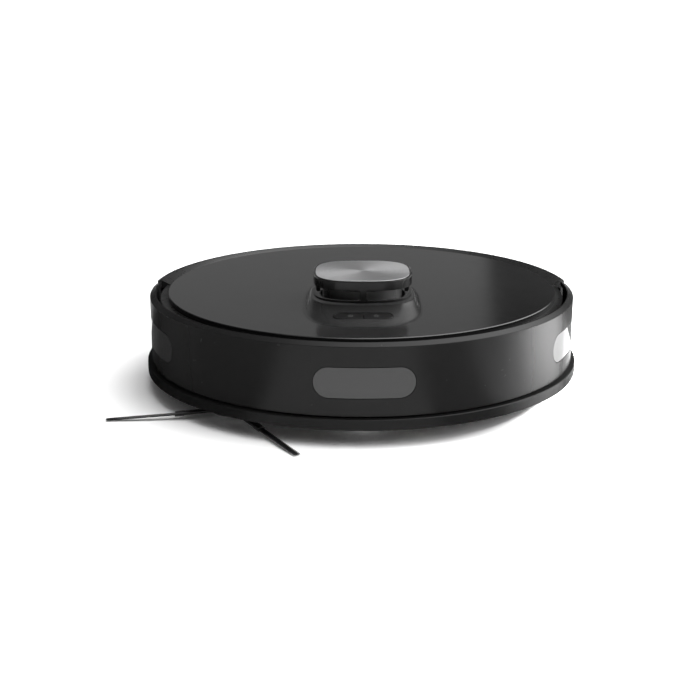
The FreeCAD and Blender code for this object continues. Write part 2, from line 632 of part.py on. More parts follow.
def make_caster():
    """Swivel socket in the floor, fork, axle and roller."""
    at = ("0", "caster_y", "0")
    socket = turned("caster_cup", [
        ("17.2", "under_z"), ("18.9", "under_z"), ("18.9", "floor_top"), ("24", "floor_top"), ("24", "15"),
        ("18.9", "15"), ("18.9", "25.5"), ("7", "25.5"), ("7", "33"), ("0", "33"), ("0", "31.5"),
        ("3 + 0.05", "31.5"), ("3 + 0.05", "23.6"), ("17.2", "23.6")])
    keep(move(socket, at), "caster_socket")
    axle_y = "caster_y + caster_trail"
    disc = rod("fork_disc", "16.6", ("0", "caster_y", "12.5"), "10.6")
    stem = rod("fork_stem", "3", ("0", "caster_y", "22"), "9")
    cheeks = []
    for name, side in SIDES:
        x_span = span(side, "7", "10")
        cheeks.append(block("cheek_" + name, x_span, (axle_y + " - 5", axle_y + " + 5"), ("6.5", "14")))
    slot = block("fork_slot", ("-7", "7"), (axle_y + " - 11.3", axle_y + " + 11.3"), ("5", "21.6"))
    bore = rod("fork_bore", "1.5", ("-12", axle_y, "caster_radius"), "24", "x")
    blank = fuse("fork_blank", disc, stem, *cheeks)
    keep(cut("fork", blank, slot, bore), "caster_fork")
    keep(rod("roller_axle", "1.5", ("-9.8", axle_y, "caster_radius"), "19.6", "x"), "caster_axle")
    roller = turned("roller", [
        ("1.5 + 0.05", "-6.4"), ("caster_radius - 1.5", "-6.4"), ("caster_radius", "-4.6"),
        ("caster_radius", "4.6"), ("caster_radius - 1.5", "6.4"), ("1.5 + 0.05", "6.4")])
    roller.Placement = Placement(Vector(), Rotation(Vector(0, 1, 0), 90))
    keep(move(roller, ("0", axle_y, "caster_radius")), "caster_wheel")


# ---------------------------------------------------------------- side brush

def sloping_bar(name, size, inner, outer, z_inner, z_outer, turn):
    """A flat bar from one radius to another, its middle line dropping outwards."""
    width, thick = size
    run = value(outer) - value(inner)
    drop = z_inner - z_outer
    length = math.hypot(run, drop)
    solid = Part.makeBox(length, width, thick, Vector(0, -width / 2, -thick / 2))
    tilt = Rotation(Vector(0, 1, 0), math.degrees(math.atan2(drop, run)))
    at = Placement(Vector(value(inner), 0, z_inner), tilt)
    hub = Placement(Vector(value("side_x"), value("side_y"), 0), Rotation(Vector(0, 0, 1), turn))
    return feature(name, solid, hub.multiply(at))


def make_side_brush():
    """Three-armed side brush on its gearbox, with bristle tufts and a screw."""
    hub = turned("side_hub_disc", [
        ("2.5 + 0.05", "5"), ("12", "5"), ("14.5", "6.6"), ("14.5", "8.6"), ("13.5", "9.6"), ("2.5 + 0.05", "9.6")])
    move(hub, ("side_x", "side_y", "0"))
    arms = []
    tufts = []
    for index in range(3):
        turn = value("side_turn") + 120 * index
        arms.append(sloping_bar("side_arm_%d" % index, (6.2, 3.4), "11", "side_collar", 7.4, 4.6, turn))
        tufts.append(sloping_bar("tuft_%d" % index, (4.6, 0.9), "side_collar + 0.02", "side_reach", 4.4, 1.1, turn))
    keep(fuse("side_hub", hub, *arms), "side_brush_hub")
    keep(group("tufts", tufts), "side_brush_bristles")
    screw = turned("side_screw", [
        ("0", "3.4"), ("3.6", "3.4"), ("4.2", "4"), ("4.2", "4.9"), ("0", "4.9")])
    keep(move(screw, ("side_x", "side_y", "0")), "side_brush_screw")
    inward = math.degrees(math.atan2(value("side_y"), value("side_x"))) + 180
    shift = polar(19, inward)
    barrel = rod("side_gear_barrel", "12", ("side_x", "side_y", "floor_top"), "14")
    case = box("side_gear_case", ("34", "26", "26"),
               ("side_x + %s" % shift[0], "side_y + %s" % shift[1], "floor_top"), inward)
    shaft = rod("side_gear_shaft", "2.5", ("side_x", "side_y", "5"), "9")
    keep(fuse("side_gear", barrel, case, shaft), "side_brush_gearbox")


# ---------------------------------------------------------------- main brush

def make_main_brush():
    """Roller with fins in its bay, belt drive, motor and the guard below."""
    outer = block("bay_outer", ("-bay_half_x - 2", "bay_half_x + 2"),
                  ("bay_front - 2", "bay_back + 2"), ("floor_top", "bay_top + 2"))
    inner = block("bay_inner", ("-bay_half_x", "bay_half_x"), ("bay_front", "bay_back"), ("floor_top - 1", "bay_top"))
    duct = block("bay_duct", ("-34", "34"), ("bay_back - 1", "bay_back + 5.8"), ("26", "bay_top"))
    duct_inside = block("bay_duct_inside", ("-32", "32"), ("bay_back - 4", "bay_back + 6"), ("28", "bay_top - 2"))
    seat = block("bay_seat", ("-bay_half_x - 1", "-brush_half - 0.6"), ("brush_y - 8", "brush_y + 8"),
                 ("brush_z - 8", "brush_z + 8"))
    seat_bore = rod("bay_seat_bore", "3 + %s" % RUN_FIT, ("-brush_half - 4", "brush_y", "brush_z"), "8", "x")
    wall_bore = rod("bay_wall_bore", "3 + %s" % RUN_FIT, ("bay_half_x - 1", "brush_y", "brush_z"), "5", "x")
    shell = cut("bay_shell", fuse("bay_walls", outer, duct), inner, duct_inside)
    keep(cut("bay", fuse("bay_blank", shell, seat), seat_bore, wall_bore), "suction_housing")

    barrel = rod("brush_barrel", "8", ("-brush_half", "brush_y", "brush_z"), "2 * brush_half", "x")
    journal = rod("brush_journal", "3", ("-brush_half - 3.5", "brush_y", "brush_z"),
                  "2 * brush_half + 14.5", "x")
    keep(fuse("brush_core", barrel, journal), "main_brush_core")
    fins = []
    for x_low, x_high in (("-brush_half + 1", "-28"), ("-24", "24"), ("28", "brush_half - 1")):
        sleeve = cut("sleeve" + str(len(fins)),
                     rod("sleeve_outer", "9.4", (x_low, "brush_y", "brush_z"), "(%s) - (%s)" % (x_high, x_low), "x"),
                     rod("sleeve_inner", "8", (x_low, "brush_y", "brush_z"), "(%s) - (%s)" % (x_high, x_low), "x"))
        blades = []
        for index in range(6):
            length = value(x_high) - value(x_low)
            blade = Part.makeBox(length, 1.8, value("brush_radius") - 8.6, Vector(value(x_low), -0.9, 8.6))
            at = Placement(Vector(0, value("brush_y"), value("brush_z")), Rotation(Vector(1, 0, 0), 60 * index))
            blades.append(feature("blade", blade, at))
        fins.append(fuse("fins" + str(len(fins)), sleeve, *blades))
    keep(group("fin_sets", fins), "main_brush_fins")

    pulley_at = ("bay_half_x + 2.6", "brush_y", "brush_z")
    wheel = cut("brush_wheel", rod("brush_wheel_disc", "8", pulley_at, "4", "x"),
                rod("brush_wheel_bore", "3", pulley_at, "4", "x"))
    keep(wheel, "brush_pulley")
    motor_z = "57.5"
    can = rod("brush_motor_can", "9", ("36", "brush_y", motor_z), "bay_half_x - 36", "x")
    shaft = rod("brush_motor_shaft", "1.5", ("bay_half_x - 1", "brush_y", motor_z), "8", "x")
    keep(fuse("brush_motor_solid", can, shaft), "brush_motor")
    small_at = ("bay_half_x + 2.6", "brush_y", motor_z)
    small = cut("motor_wheel", rod("motor_wheel_disc", "5", small_at, "4", "x"),
                rod("motor_wheel_bore", "1.5 + %s" % RUN_FIT, small_at, "4", "x"))
    keep(small, "brush_motor_pulley")
    distance = value(motor_z) - value("brush_z")
    band = belt_band(distance, 8.1, 5.1, 3.2, 0.9)
    # The band's first pulley goes to the brush and its length points up.
    turn = Rotation(Vector(0, 0, 1), Vector(0, 1, 0), Vector(1, 0, 0), "ZXY")
    at = Vector(value("bay_half_x + 3.0"), value("brush_y"), value("brush_z"))
    keep(feature("brush_belt_band", band, Placement(at, turn)), "brush_belt")

    frame = block("guard_frame", ("-bay_half_x + 0.4", "bay_half_x - 0.4"),
                  ("hinge_y", "bay_back - 1"), ("under_z", "floor_top - 0.2"))
    opening = block("guard_opening", ("-brush_half - 0.3", "brush_half + 0.3"),
                    ("bay_front + 8", "bay_back - 8"), ("under_z - 1", "floor_top + 1"))
    bars = []
    for x in (-26, 26):
        bars.append(block("guard_bar", (x - 1.2, x + 1.2), ("bay_front + 5", "bay_back - 5"),
                          ("under_z", "floor_top - 0.2")))
    tabs = []
    for x in (-60, 60):
        tabs.append(block("guard_tab", (x - 7, x + 7), ("bay_back - 6", "bay_back - 2"), ("under_z - 1", "under_z + 1")))
    barrel = rod("guard_barrel", "1.3", ("-bay_half_x + 0.4", "hinge_y", "hinge_z"), "2 * bay_half_x - 0.8", "x")
    pins = rod("guard_pins", "0.8", ("-bay_half_x - 2", "hinge_y", "hinge_z"), "2 * bay_half_x + 4", "x")
    solids = [barrel, pins, *bars, *tabs]
    keep(fuse("guard_grille", cut("guard_ring", frame, opening), *solids), "brush_guard")


# ---------------------------------------------------------------- bin and fan

def make_bin():
    """Rear dust bin with lid, filter and latch button."""
    rear = rod("bin_round", "body_radius", ("0", "0", "0"), "rim_top")
    rear_inside = rod("bin_round_inside", "body_radius - 3", ("0", "0", "0"), "rim_top + 5")
    outer = block("bin_outer", ("-bin_half_x", "bin_half_x"), ("bin_front", "190"), ("bin_low", "bin_high"))
    inner = block("bin_inner", ("-bin_half_x + 2", "bin_half_x - 2"), ("bin_front + 2", "190"),
                  ("bin_low + 2", "bin_high + 1"))
    inlet = block("bin_inlet", ("-30", "30"), ("bin_front - 1", "bin_front + 3"), ("29", "bay_top - 3"))
    outlet = block("bin_outlet", ("-bin_half_x - 1", "-bin_half_x + 3"), ("fan_y - 14", "fan_y + 14"), ("31", "49"))
    latch_hole = block("latch_hole", ("-16", "16"), ("bin_front + 60", "190"), ("42", "52"))
    shell = cut("bin_shell", common("bin_body", outer, rear), common("bin_cavity", inner, rear_inside),
                inlet, outlet, latch_hole)
    keep(shell, "dust_bin")
    lid_box = block("lid_box", ("-bin_half_x + 0.2", "bin_half_x - 0.2"), ("bin_front + 0.2", "190"),
                    ("bin_high", "bin_high + 2.4"))
    lid_round = rod("lid_round", "body_radius - 0.6", ("0", "0", "0"), "rim_top + 6")
    keep(common("lid_solid", lid_box, lid_round), "bin_lid")
    frame = block("filter_frame", ("-bin_half_x + 2", "-bin_half_x + 14"), ("fan_y - 22", "fan_y + 22"),
                  ("28", "60"))
    pleats = []
    for index in range(10):
        y = value("fan_y") - 19 + 4 * index
        pleats.append(block("pleat_%d" % index, ("-bin_half_x + 9", "-bin_half_x + 20"), (y, y + 2), ("30", "58")))
    keep(cut("filter_solid", frame, *pleats), "bin_filter")
    latch_block = block("latch_block", ("-15.7", "15.7"), ("161", "190"), ("42.3", "51.7"))
    latch_round = rod("latch_round", "body_radius - 0.3", ("0", "0", "0"), "rim_top")
    keep(common("latch_solid", latch_block, latch_round), "bin_latch")


def make_fan():
    """Suction fan beside the bin: housing, motor and impeller."""
    centre = ("fan_x", "fan_y")
    drum = rod("fan_drum", "fan_radius", centre + ("18",), "36")
    duct = block("fan_duct", ("fan_x + 4", "-bin_half_x - 0.6"), ("fan_y - 16", "fan_y + 16"), ("29", "54"))
    drum_inside = rod("fan_drum_inside", "fan_radius - 1.6", centre + ("19.6",), "32.8")
    duct_inside = block("fan_duct_inside", ("fan_x + 4", "-bin_half_x"), ("fan_y - 14.4", "fan_y + 14.4"),
                        ("30.6", "52.4"))
    out_turn = 150
    out_shift = polar(20, out_turn)
    outlet = box("fan_outlet", ("10", "16", "14"),
                 ("fan_x + %s" % out_shift[0], "fan_y + %s" % out_shift[1], "22"), out_turn)
    keep(cut("fan_case", fuse("fan_blank", drum, duct), drum_inside, duct_inside, outlet), "fan_housing")
    can = rod("fan_can", "11", centre + ("19.6",), "15")
    shaft = rod("fan_shaft", "1.6", centre + ("34",), "15")
    keep(fuse("fan_motor_solid", can, shaft), "fan_motor")
    disc = rod("impeller_disc", "17", centre + ("36",), "1.6")
    hub = rod("impeller_hub", "5", centre + ("36",), "12")
    blades = []
    for index in range(9):
        turn = 40 * index
        x, y = polar(10.5, turn)
        blades.append(box("fan_blade_%d" % index, ("12.6", "1.2", "11"),
                          ("fan_x + %s" % x, "fan_y + %s" % y, "36.8"), turn + 24))
    bore = rod("impeller_bore", "1.6 + %s" % RUN_FIT, centre + ("35",), "15")
    keep(cut("impeller", fuse("impeller_blank", disc, hub, *blades), bore), "fan_impeller")


# ---------------------------------------------------------------- power

def make_power():
    """Battery pack, its cover in the floor, and the main board."""
    pack = block("pack_block", ("-battery_half_x", "battery_half_x"), ("battery_front", "battery_back"),
                 ("floor_top + 0.2", "floor_top + 21.5"))
    keep(rounded("pack_round", pack, (1, 3, 5, 7), 5), "battery_pack")
    plate = block("cover_plate", ("-battery_half_x - 2.6", "battery_half_x + 2.6"),
                  ("battery_front - 2.6", "battery_back + 2.6"), ("under_z", "floor_top"))
    grip = block("cover_grip", ("-12", "12"), ("battery_front", "battery_front + 8"), ("under_z - 1", "under_z + 1.2"))
    keep(cut("cover", plate, grip), "battery_cover")
    card = block("board_card", ("-80", "24"), ("-20", "34"), ("50", "51.6"))
    chips = []
    for x, y, length, width, height in ((-50, 6, 16, 16, 2), (-20, 14, 12, 12, 2), (-66, 24, 10, 8, 5),
                                        (10, -10, 12, 7, 5), (-34, -12, 22, 6, 6), (12, 20, 8, 8, 7)):
        chips.append(box("chip", (length, width, height), (x, y, "51.5")))
    keep(fuse("board", card, *chips), "main_board")


# ---------------------------------------------------------------- build

make_base()
make_base_trim()
make_upper_housing()
make_top_panel()
make_hump()
make_buttons()
make_turret()
make_laser()
make_bumper()
for side_name, side_sign in SIDES:
    make_drive(side_name, side_sign)
make_caster()
make_side_brush()
make_main_brush()
make_bin()
make_fan()
make_power()
doc.recompute()

faults = []
for item in doc.Objects:
    if "Invalid" in item.State or "Error" in item.State:
        faults.append("%s is %s" % (item.Name, item.State))
for item in NODES:
    if item.Shape.isNull() or not item.Shape.isValid():
        faults.append("%s has no valid shape" % item.Label)
if faults:
    raise SystemExit("\n".join(faults))

os.makedirs("parts", exist_ok=True)
for item in NODES:
    item.Shape.exportStep("parts/%s.step" % item.Label)
    print("%-28s %2d solid(s) %9.0f mm3" % (item.Label, len(item.Shape.Solids), item.Shape.Volume))
print(len(NODES), "sub-parts")
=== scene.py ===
"""Looks of a black robot vacuum cleaner: moulded shells, glossy panel, turret, brushes and wheels."""

import json
import math
import random

import bmesh
import bpy
from mathutils import Matrix, Vector


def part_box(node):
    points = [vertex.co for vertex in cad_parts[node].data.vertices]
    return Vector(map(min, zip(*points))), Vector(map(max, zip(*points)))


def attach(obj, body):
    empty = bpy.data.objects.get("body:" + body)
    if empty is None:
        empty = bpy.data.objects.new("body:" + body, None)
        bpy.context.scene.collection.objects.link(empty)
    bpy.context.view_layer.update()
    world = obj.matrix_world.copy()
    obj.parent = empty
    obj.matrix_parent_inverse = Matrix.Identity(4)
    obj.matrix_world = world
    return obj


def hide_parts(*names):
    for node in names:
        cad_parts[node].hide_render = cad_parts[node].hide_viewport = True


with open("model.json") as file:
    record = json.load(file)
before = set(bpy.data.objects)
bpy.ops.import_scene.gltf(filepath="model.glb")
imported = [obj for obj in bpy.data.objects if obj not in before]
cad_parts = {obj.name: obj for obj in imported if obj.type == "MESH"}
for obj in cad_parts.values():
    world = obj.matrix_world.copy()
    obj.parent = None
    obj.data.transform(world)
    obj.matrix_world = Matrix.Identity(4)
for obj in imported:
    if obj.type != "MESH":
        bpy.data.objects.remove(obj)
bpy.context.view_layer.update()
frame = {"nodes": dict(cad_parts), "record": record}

MM = 0.001
SCENE = bpy.context.scene
random.seed(7)

# ---------------------------------------------------------------- measures from the frame

BASE_LOW, BASE_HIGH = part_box("base_shell")
BUMPER_LOW, BUMPER_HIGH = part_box("bumper_shell")
PANEL_LOW, PANEL_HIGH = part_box("top_panel")
HUMP_LOW, HUMP_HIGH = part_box("turret_hump")
GUARD_LOW, GUARD_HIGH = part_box("turret_guard")
INLAY_LOW, INLAY_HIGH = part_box("turret_cap_inlay")
DRUM_LOW, DRUM_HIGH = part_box("lidar_drum")
WINDOW_LOW, WINDOW_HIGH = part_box("bumper_window_front")
BEZEL_LOW, BEZEL_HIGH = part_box("button_bezel")

BODY_RADIUS = BUMPER_HIGH.x
RIM_TOP = BUMPER_HIGH.z
TURRET_Y = (GUARD_LOW.y + GUARD_HIGH.y) / 2
TURRET = (0, TURRET_Y)
SIDE_TURN = 69.5           # degrees from the front window to a side window
BUMPER_WRAP = 191          # degrees of the body that the bumper goes round
REAR_WRAP = 164.8          # the same for the rear wall
TURRET_HOLE = 38 * MM      # radius of the opening under the turret, in deck and panel
CORNER = 3.0               # squareness of the turret's outline, where 2 is an ellipse


# ---------------------------------------------------------------- materials

def add(tree, kind, **inputs):
    """A shader node with some of its inputs set."""
    node = tree.nodes.new(kind)
    for name, value in inputs.items():
        node.inputs[name.replace("_", " ")].default_value = value
    return node


def start_material(name):
    """An empty node material: its tree, its shader and the object coordinates."""
    material = bpy.data.materials.new(name)
    material.use_nodes = True
    tree = material.node_tree
    shader = tree.nodes["Principled BSDF"]
    place = tree.nodes.new("ShaderNodeTexCoord").outputs["Object"]
    return material, tree, shader, place


def noise(tree, place, scale, detail=3.0, roughness=0.5):
    """A noise value over the object, its scale in features per metre."""
    texture = add(tree, "ShaderNodeTexNoise", Scale=scale, Detail=detail, Roughness=roughness)
    tree.links.new(place, texture.inputs["Vector"])
    return texture.outputs["Fac"]


def spread(tree, fac, low, high, start=0.3, end=0.7):
    """A noise value stretched to a range."""
    node = tree.nodes.new("ShaderNodeMapRange")
    node.inputs["From Min"].default_value = start
    node.inputs["From Max"].default_value = end
    node.inputs["To Min"].default_value = low
    node.inputs["To Max"].default_value = high
    tree.links.new(fac, node.inputs["Value"])
    return node.outputs["Result"]


def tint(tree, fac, low, high):
    """A colour that moves between two by a value."""
    node = tree.nodes.new("ShaderNodeMix")
    node.data_type = "RGBA"
    node.inputs["A"].default_value = (*low, 1)
    node.inputs["B"].default_value = (*high, 1)
    tree.links.new(fac, node.inputs["Factor"])
    return node.outputs["Result"]


def bump(tree, height, distance, strength=1.0, under=None):
    """A bump from a height value, over another if given."""
    node = add(tree, "ShaderNodeBump", Strength=strength, Distance=distance)
    tree.links.new(height, node.inputs["Height"])
    if under is not None:
        tree.links.new(under, node.inputs["Normal"])
    return node.outputs["Normal"]


def moulded(name, shade, rough, spread_rough=0.06, grain=9000, depth=0.004 * MM, ior=1.5,
            metallic=0.0, round_edge=0.0, warm=(1, 1, 1), drift=0.12, fade=None,
            fade_span=(0.42, 0.74)):
    """Moulded plastic, rubber or metal: surface grain, patchy gloss and a slightly uneven colour."""
    material, tree, shader, place = start_material(name)
    shader.inputs["IOR"].default_value = ior
    shader.inputs["Metallic"].default_value = metallic
    if fade is not None:
        facing = add(tree, "ShaderNodeLayerWeight", Blend=0.5)
        level = spread(tree, facing.outputs["Facing"], 0.5, fade, *fade_span)
        level.node.interpolation_type = "SMOOTHSTEP"
        tree.links.new(level, shader.inputs["Specular IOR Level"])
    patches = noise(tree, place, 38, 4)
    low = [shade * c * (1 - drift) for c in warm]
    high = [shade * c * (1 + drift) for c in warm]
    tree.links.new(tint(tree, spread(tree, patches, 0, 1), low, high), shader.inputs["Base Color"])
    rubbed = noise(tree, place, 140, 5, 0.6)
    gloss = spread(tree, rubbed, rough - spread_rough, rough + spread_rough)
    tree.links.new(gloss, shader.inputs["Roughness"])
    normal = None
    if round_edge:
        edge = add(tree, "ShaderNodeBevel", Radius=round_edge)
        edge.samples = 4
        normal = edge.outputs["Normal"]
    tree.links.new(bump(tree, noise(tree, place, grain, 2), depth, 1.0, normal), shader.inputs["Normal"])
    return material


def spun(name):
    """Metal plate turned on a lathe: fine rings round its middle and a stretched highlight."""
    material, tree, shader, place = start_material(name)
    shader.inputs["Metallic"].default_value = 1.0
    shader.inputs["Anisotropic"].default_value = 0.35
    shifted = add(tree, "ShaderNodeMapping", Location=(0, -TURRET_Y, 0), Scale=(1, 1, 0))
    tree.links.new(place, shifted.inputs["Vector"])
    length = tree.nodes.new("ShaderNodeVectorMath")
    length.operation = "LENGTH"
    tree.links.new(shifted.outputs[0], length.inputs[0])
    rings = add(tree, "ShaderNodeTexNoise", Scale=5200.0, Detail=3.0)
    rings.noise_dimensions = "1D"
    tree.links.new(length.outputs["Value"], rings.inputs["W"])
    broad = add(tree, "ShaderNodeTexNoise", Scale=900.0, Detail=2.0)
    broad.noise_dimensions = "1D"
    tree.links.new(length.outputs["Value"], broad.inputs["W"])
    colour = tint(tree, spread(tree, broad.outputs["Fac"], 0, 1), (0.36, 0.36, 0.365), (0.44, 0.44, 0.445))
    tree.links.new(colour, shader.inputs["Base Color"])
    gloss = spread(tree, rings.outputs["Fac"], 0.36, 0.50)
    tree.links.new(gloss, shader.inputs["Roughness"])
    tree.links.new(bump(tree, rings.outputs["Fac"], 0.003 * MM, 0.6), shader.inputs["Normal"])
    tangent = tree.nodes.new("ShaderNodeTangent")
    tangent.direction_type = "UV_MAP"
    tangent.uv_map = "turning"
    tree.links.new(tangent.outputs[0], shader.inputs["Tangent"])
    return material


def bristle_hair(name, shade):
    """Nylon bristle: satin, with a tone that varies at random."""
    material, tree, shader, place = start_material(name)
    shader.inputs["IOR"].default_value = 1.53
    tone = noise(tree, place, 900, 2)
    colour = tint(tree, spread(tree, tone, 0, 1), (shade,) * 3, (shade * 1.9,) * 3)
    tree.links.new(colour, shader.inputs["Base Color"])
    tree.links.new(spread(tree, tone, 0.35, 0.55), shader.inputs["Roughness"])
    tree.links.new(bump(tree, noise(tree, place, 4000, 2), 0.01 * MM), shader.inputs["Normal"])
    return material


def circuit(name):
    """Solder mask with copper tracks showing through as a faint pattern."""
    material, tree, shader, place = start_material(name)
    cells = add(tree, "ShaderNodeTexVoronoi", Scale=220.0)
    cells.distance = "CHEBYCHEV"
    tree.links.new(place, cells.inputs["Vector"])
    tracks = spread(tree, cells.outputs["Distance"], 0, 1, 0.2, 0.3)
    colour = tint(tree, tracks, (0.01, 0.09, 0.05), (0.02, 0.15, 0.07))
    tree.links.new(colour, shader.inputs["Base Color"])
    tree.links.new(spread(tree, cells.outputs["Distance"], 0.3, 0.45), shader.inputs["Roughness"])
    return material


SOFT_EDGE = 0.35 * MM
FINISH = {
    "shell_black": moulded("shell_black", 0.006, 0.42, grain=5200, depth=0.008 * MM, ior=1.22, fade=0.02),
    "rear_black": moulded("rear_black", 0.010, 0.30, grain=7000, depth=0.003 * MM, ior=1.36, fade=0.1),
    "panel_gloss": moulded("panel_gloss", 0.009, 0.15, 0.02, grain=2600, depth=0.0012 * MM, drift=0.05),
    "hump_black": moulded("hump_black", 0.014, 0.24, 0.02, grain=6000, depth=0.002 * MM, ior=1.48,
                          drift=0.05),
    "button_trim": moulded("button_trim", 0.004, 0.22, 0.03, ior=1.26),
    "button_face": moulded("button_face", 0.005, 0.30, 0.03, grain=8000, depth=0.003 * MM, ior=1.22),
    "guard_gloss": moulded("guard_gloss", 0.008, 0.17, 0.03, grain=5200, depth=0.0015 * MM, ior=1.28),
    "spun_metal": spun("spun_metal"),
    "drum_gloss": moulded("drum_gloss", 0.03, 0.22, 0.02, grain=6000, depth=0.001 * MM),
    "inner_plastic": moulded("inner_plastic", 0.022, 0.55, round_edge=SOFT_EDGE),
    "bearing_steel": moulded("bearing_steel", 0.55, 0.24, metallic=1.0, round_edge=SOFT_EDGE),
    "motor_can": moulded("motor_can", 0.45, 0.36, metallic=1.0, grain=1500, round_edge=SOFT_EDGE),
    "belt_rubber": moulded("belt_rubber", 0.02, 0.7),
    "bumper_gloss": moulded("bumper_gloss", 0.010, 0.27, 0.004, grain=5000, depth=0.0003 * MM, ior=1.22,
                            drift=0.05, fade=0.015),
    "window_smoked": moulded("window_smoked", 0.014, 0.05, 0.01, grain=2000, depth=0.0004 * MM, ior=1.51,
                             drift=0.03, fade=0.03, fade_span=(0.25, 0.74)),
    "arm_plastic": moulded("arm_plastic", 0.03, 0.5, grain=4000, depth=0.01 * MM, round_edge=SOFT_EDGE),
    "spring_steel": moulded("spring_steel", 0.5, 0.28, metallic=1.0),
    "hub_plastic": moulded("hub_plastic", 0.09, 0.42, round_edge=SOFT_EDGE),
    "tyre_rubber": moulded("tyre_rubber", 0.018, 0.72, grain=3000, depth=0.02 * MM),
    "roller_plastic": moulded("roller_plastic", 0.16, 0.45, round_edge=SOFT_EDGE),
    "side_brush_plastic": moulded("side_brush_plastic", 0.014, 0.5, grain=4200, depth=0.008 * MM),
    "bristle_nylon": bristle_hair("bristle_nylon", 0.008),
    "screw_steel": moulded("screw_steel", 0.5, 0.3, metallic=1.0, round_edge=0.15 * MM),
    "brush_core_plastic": moulded("brush_core_plastic", 0.04, 0.45, round_edge=SOFT_EDGE),
    "brush_fin_rubber": moulded("brush_fin_rubber", 0.06, 0.6, grain=3000, depth=0.01 * MM),
    "guard_plastic": moulded("guard_plastic", 0.02, 0.45, round_edge=SOFT_EDGE),
    "bin_smoked": moulded("bin_smoked", 0.016, 0.28, grain=7000, depth=0.003 * MM, round_edge=SOFT_EDGE),
    "bin_lid_plastic": moulded("bin_lid_plastic", 0.02, 0.4, round_edge=SOFT_EDGE),
    "filter_media": moulded("filter_media", 0.7, 0.9, grain=2500, depth=0.05 * MM, warm=(1, 0.99, 0.95)),
    "latch_plastic": moulded("latch_plastic", 0.012, 0.25, round_edge=SOFT_EDGE),
    "impeller_plastic": moulded("impeller_plastic", 0.6, 0.4, round_edge=0.2 * MM),
    "battery_wrap": moulded("battery_wrap", 0.08, 0.3, warm=(0.4, 0.7, 1.6), round_edge=SOFT_EDGE),
    "board_green": circuit("board_green"),
    "contact_plate": moulded("contact_plate", 0.62, 0.26, metallic=1.0, warm=(1, 0.96, 0.86),
                             round_edge=SOFT_EDGE),
    "sensor_lens": moulded("sensor_lens", 0.008, 0.08, 0.02, warm=(1, 0.75, 0.9), ior=1.6,
                           round_edge=0.2 * MM),
}

SIGN = moulded("sign_print", 0.10, 0.5, 0.04)

slot_of = {part["node"]: part["material_slot"] for part in frame["record"]["subparts"]}
for node_name, node_object in frame["nodes"].items():
    node_object.data.materials.clear()
    node_object.data.materials.append(FINISH[slot_of[node_name]])


# ---------------------------------------------------------------- shapes

def settle(bm, name, slot, sharp=32):
    """Turn a bmesh into an object: doubles merged, faces outward, smooth but for sharp corners."""
    bmesh.ops.remove_doubles(bm, verts=bm.verts, dist=1e-7)
    bmesh.ops.recalc_face_normals(bm, faces=bm.faces)
    mesh = bpy.data.meshes.new(name)
    bm.to_mesh(mesh)
    bm.free()
    thing = bpy.data.objects.new(name, mesh)
    SCENE.collection.objects.link(thing)
    mesh.materials.append(FINISH[slot])
    thing["slot"] = slot
    shade(thing, sharp)
    return thing


def shade(thing, sharp=32):
    """Smooth shading with corners kept above an angle."""
    thing.data.shade_smooth()
    thing.data.set_sharp_from_angle(angle=math.radians(sharp))


def lathe(name, slot, outline, middle=(0, 0), wrap=360, facing=-90, steps=256):
    """A closed (radius, height) outline spun about an upright axis."""
    bm = bmesh.new()
    start = math.radians(facing - wrap / 2)
    c, s = math.cos(start), math.sin(start)
    corners = [bm.verts.new((middle[0] + r * c, middle[1] + r * s, z)) for r, z in outline]
    edges = [bm.edges.new((corners[i - 1], corners[i])) for i in range(len(corners))]
    full = wrap == 360
    if not full:
        bm.faces.new(corners)
    spun_round = bmesh.ops.spin(bm, geom=corners + edges, cent=(*middle, 0), axis=(0, 0, 1),
                                angle=math.radians(wrap), steps=steps, use_merge=full)
    if not full:
        last = [e for e in spun_round["geom_last"] if isinstance(e, bmesh.types.BMEdge)]
        bmesh.ops.contextual_create(bm, geom=last)
    return settle(bm, name, slot)


def carve(thing, cutter, operation="DIFFERENCE"):
    """Cut, join or intersect one object with another, which is used up."""
    tool = thing.modifiers.new("carve", "BOOLEAN")
    tool.operation = operation
    tool.solver = "EXACT"
    tool.object = cutter
    graph = bpy.context.evaluated_depsgraph_get()
    mesh = bpy.data.meshes.new_from_object(thing.evaluated_get(graph))
    thing.modifiers.remove(tool)
    old = thing.data
    thing.data = mesh
    mesh.name = thing.name
    bpy.data.meshes.remove(old)
    bpy.data.objects.remove(cutter)
    while len(mesh.materials) > 1:
        mesh.materials.pop()
    shade(thing)
    return thing


def soften(thing, width, segments=3, angle=32):
    """Round every corner sharper than an angle."""
    tool = thing.modifiers.new("soften", "BEVEL")
    tool.width = width
    tool.segments = segments
    tool.limit_method = "ANGLE"
    tool.angle_limit = math.radians(angle)
    tool.use_clamp_overlap = True
    even = thing.modifiers.new("even_shading", "WEIGHTED_NORMAL")
    even.keep_sharp = True
    return thing


def slab(name, low, high):
    """A plain block between two corners, used as a cutter or the start of a shape."""
    bm = bmesh.new()
    bmesh.ops.create_cube(bm, size=1)
    size = [b - a for a, b in zip(low, high)]
    middle = [(a + b) / 2 for a, b in zip(low, high)]
    bmesh.ops.scale(bm, vec=size, verts=bm.verts)
    bmesh.ops.translate(bm, vec=middle, verts=bm.verts)
    return settle(bm, name, "inner_plastic")


def cylinder(name, slot, radius, start, end):
    """A closed upright cylinder between two points."""
    bm = bmesh.new()
    start, end = Vector(start), Vector(end)
    bmesh.ops.create_cone(bm, cap_ends=True, segments=64, radius1=radius, radius2=radius,
                          depth=(end - start).length)
    bmesh.ops.translate(bm, vec=(start + end) / 2, verts=bm.verts)
    return settle(bm, name, slot)


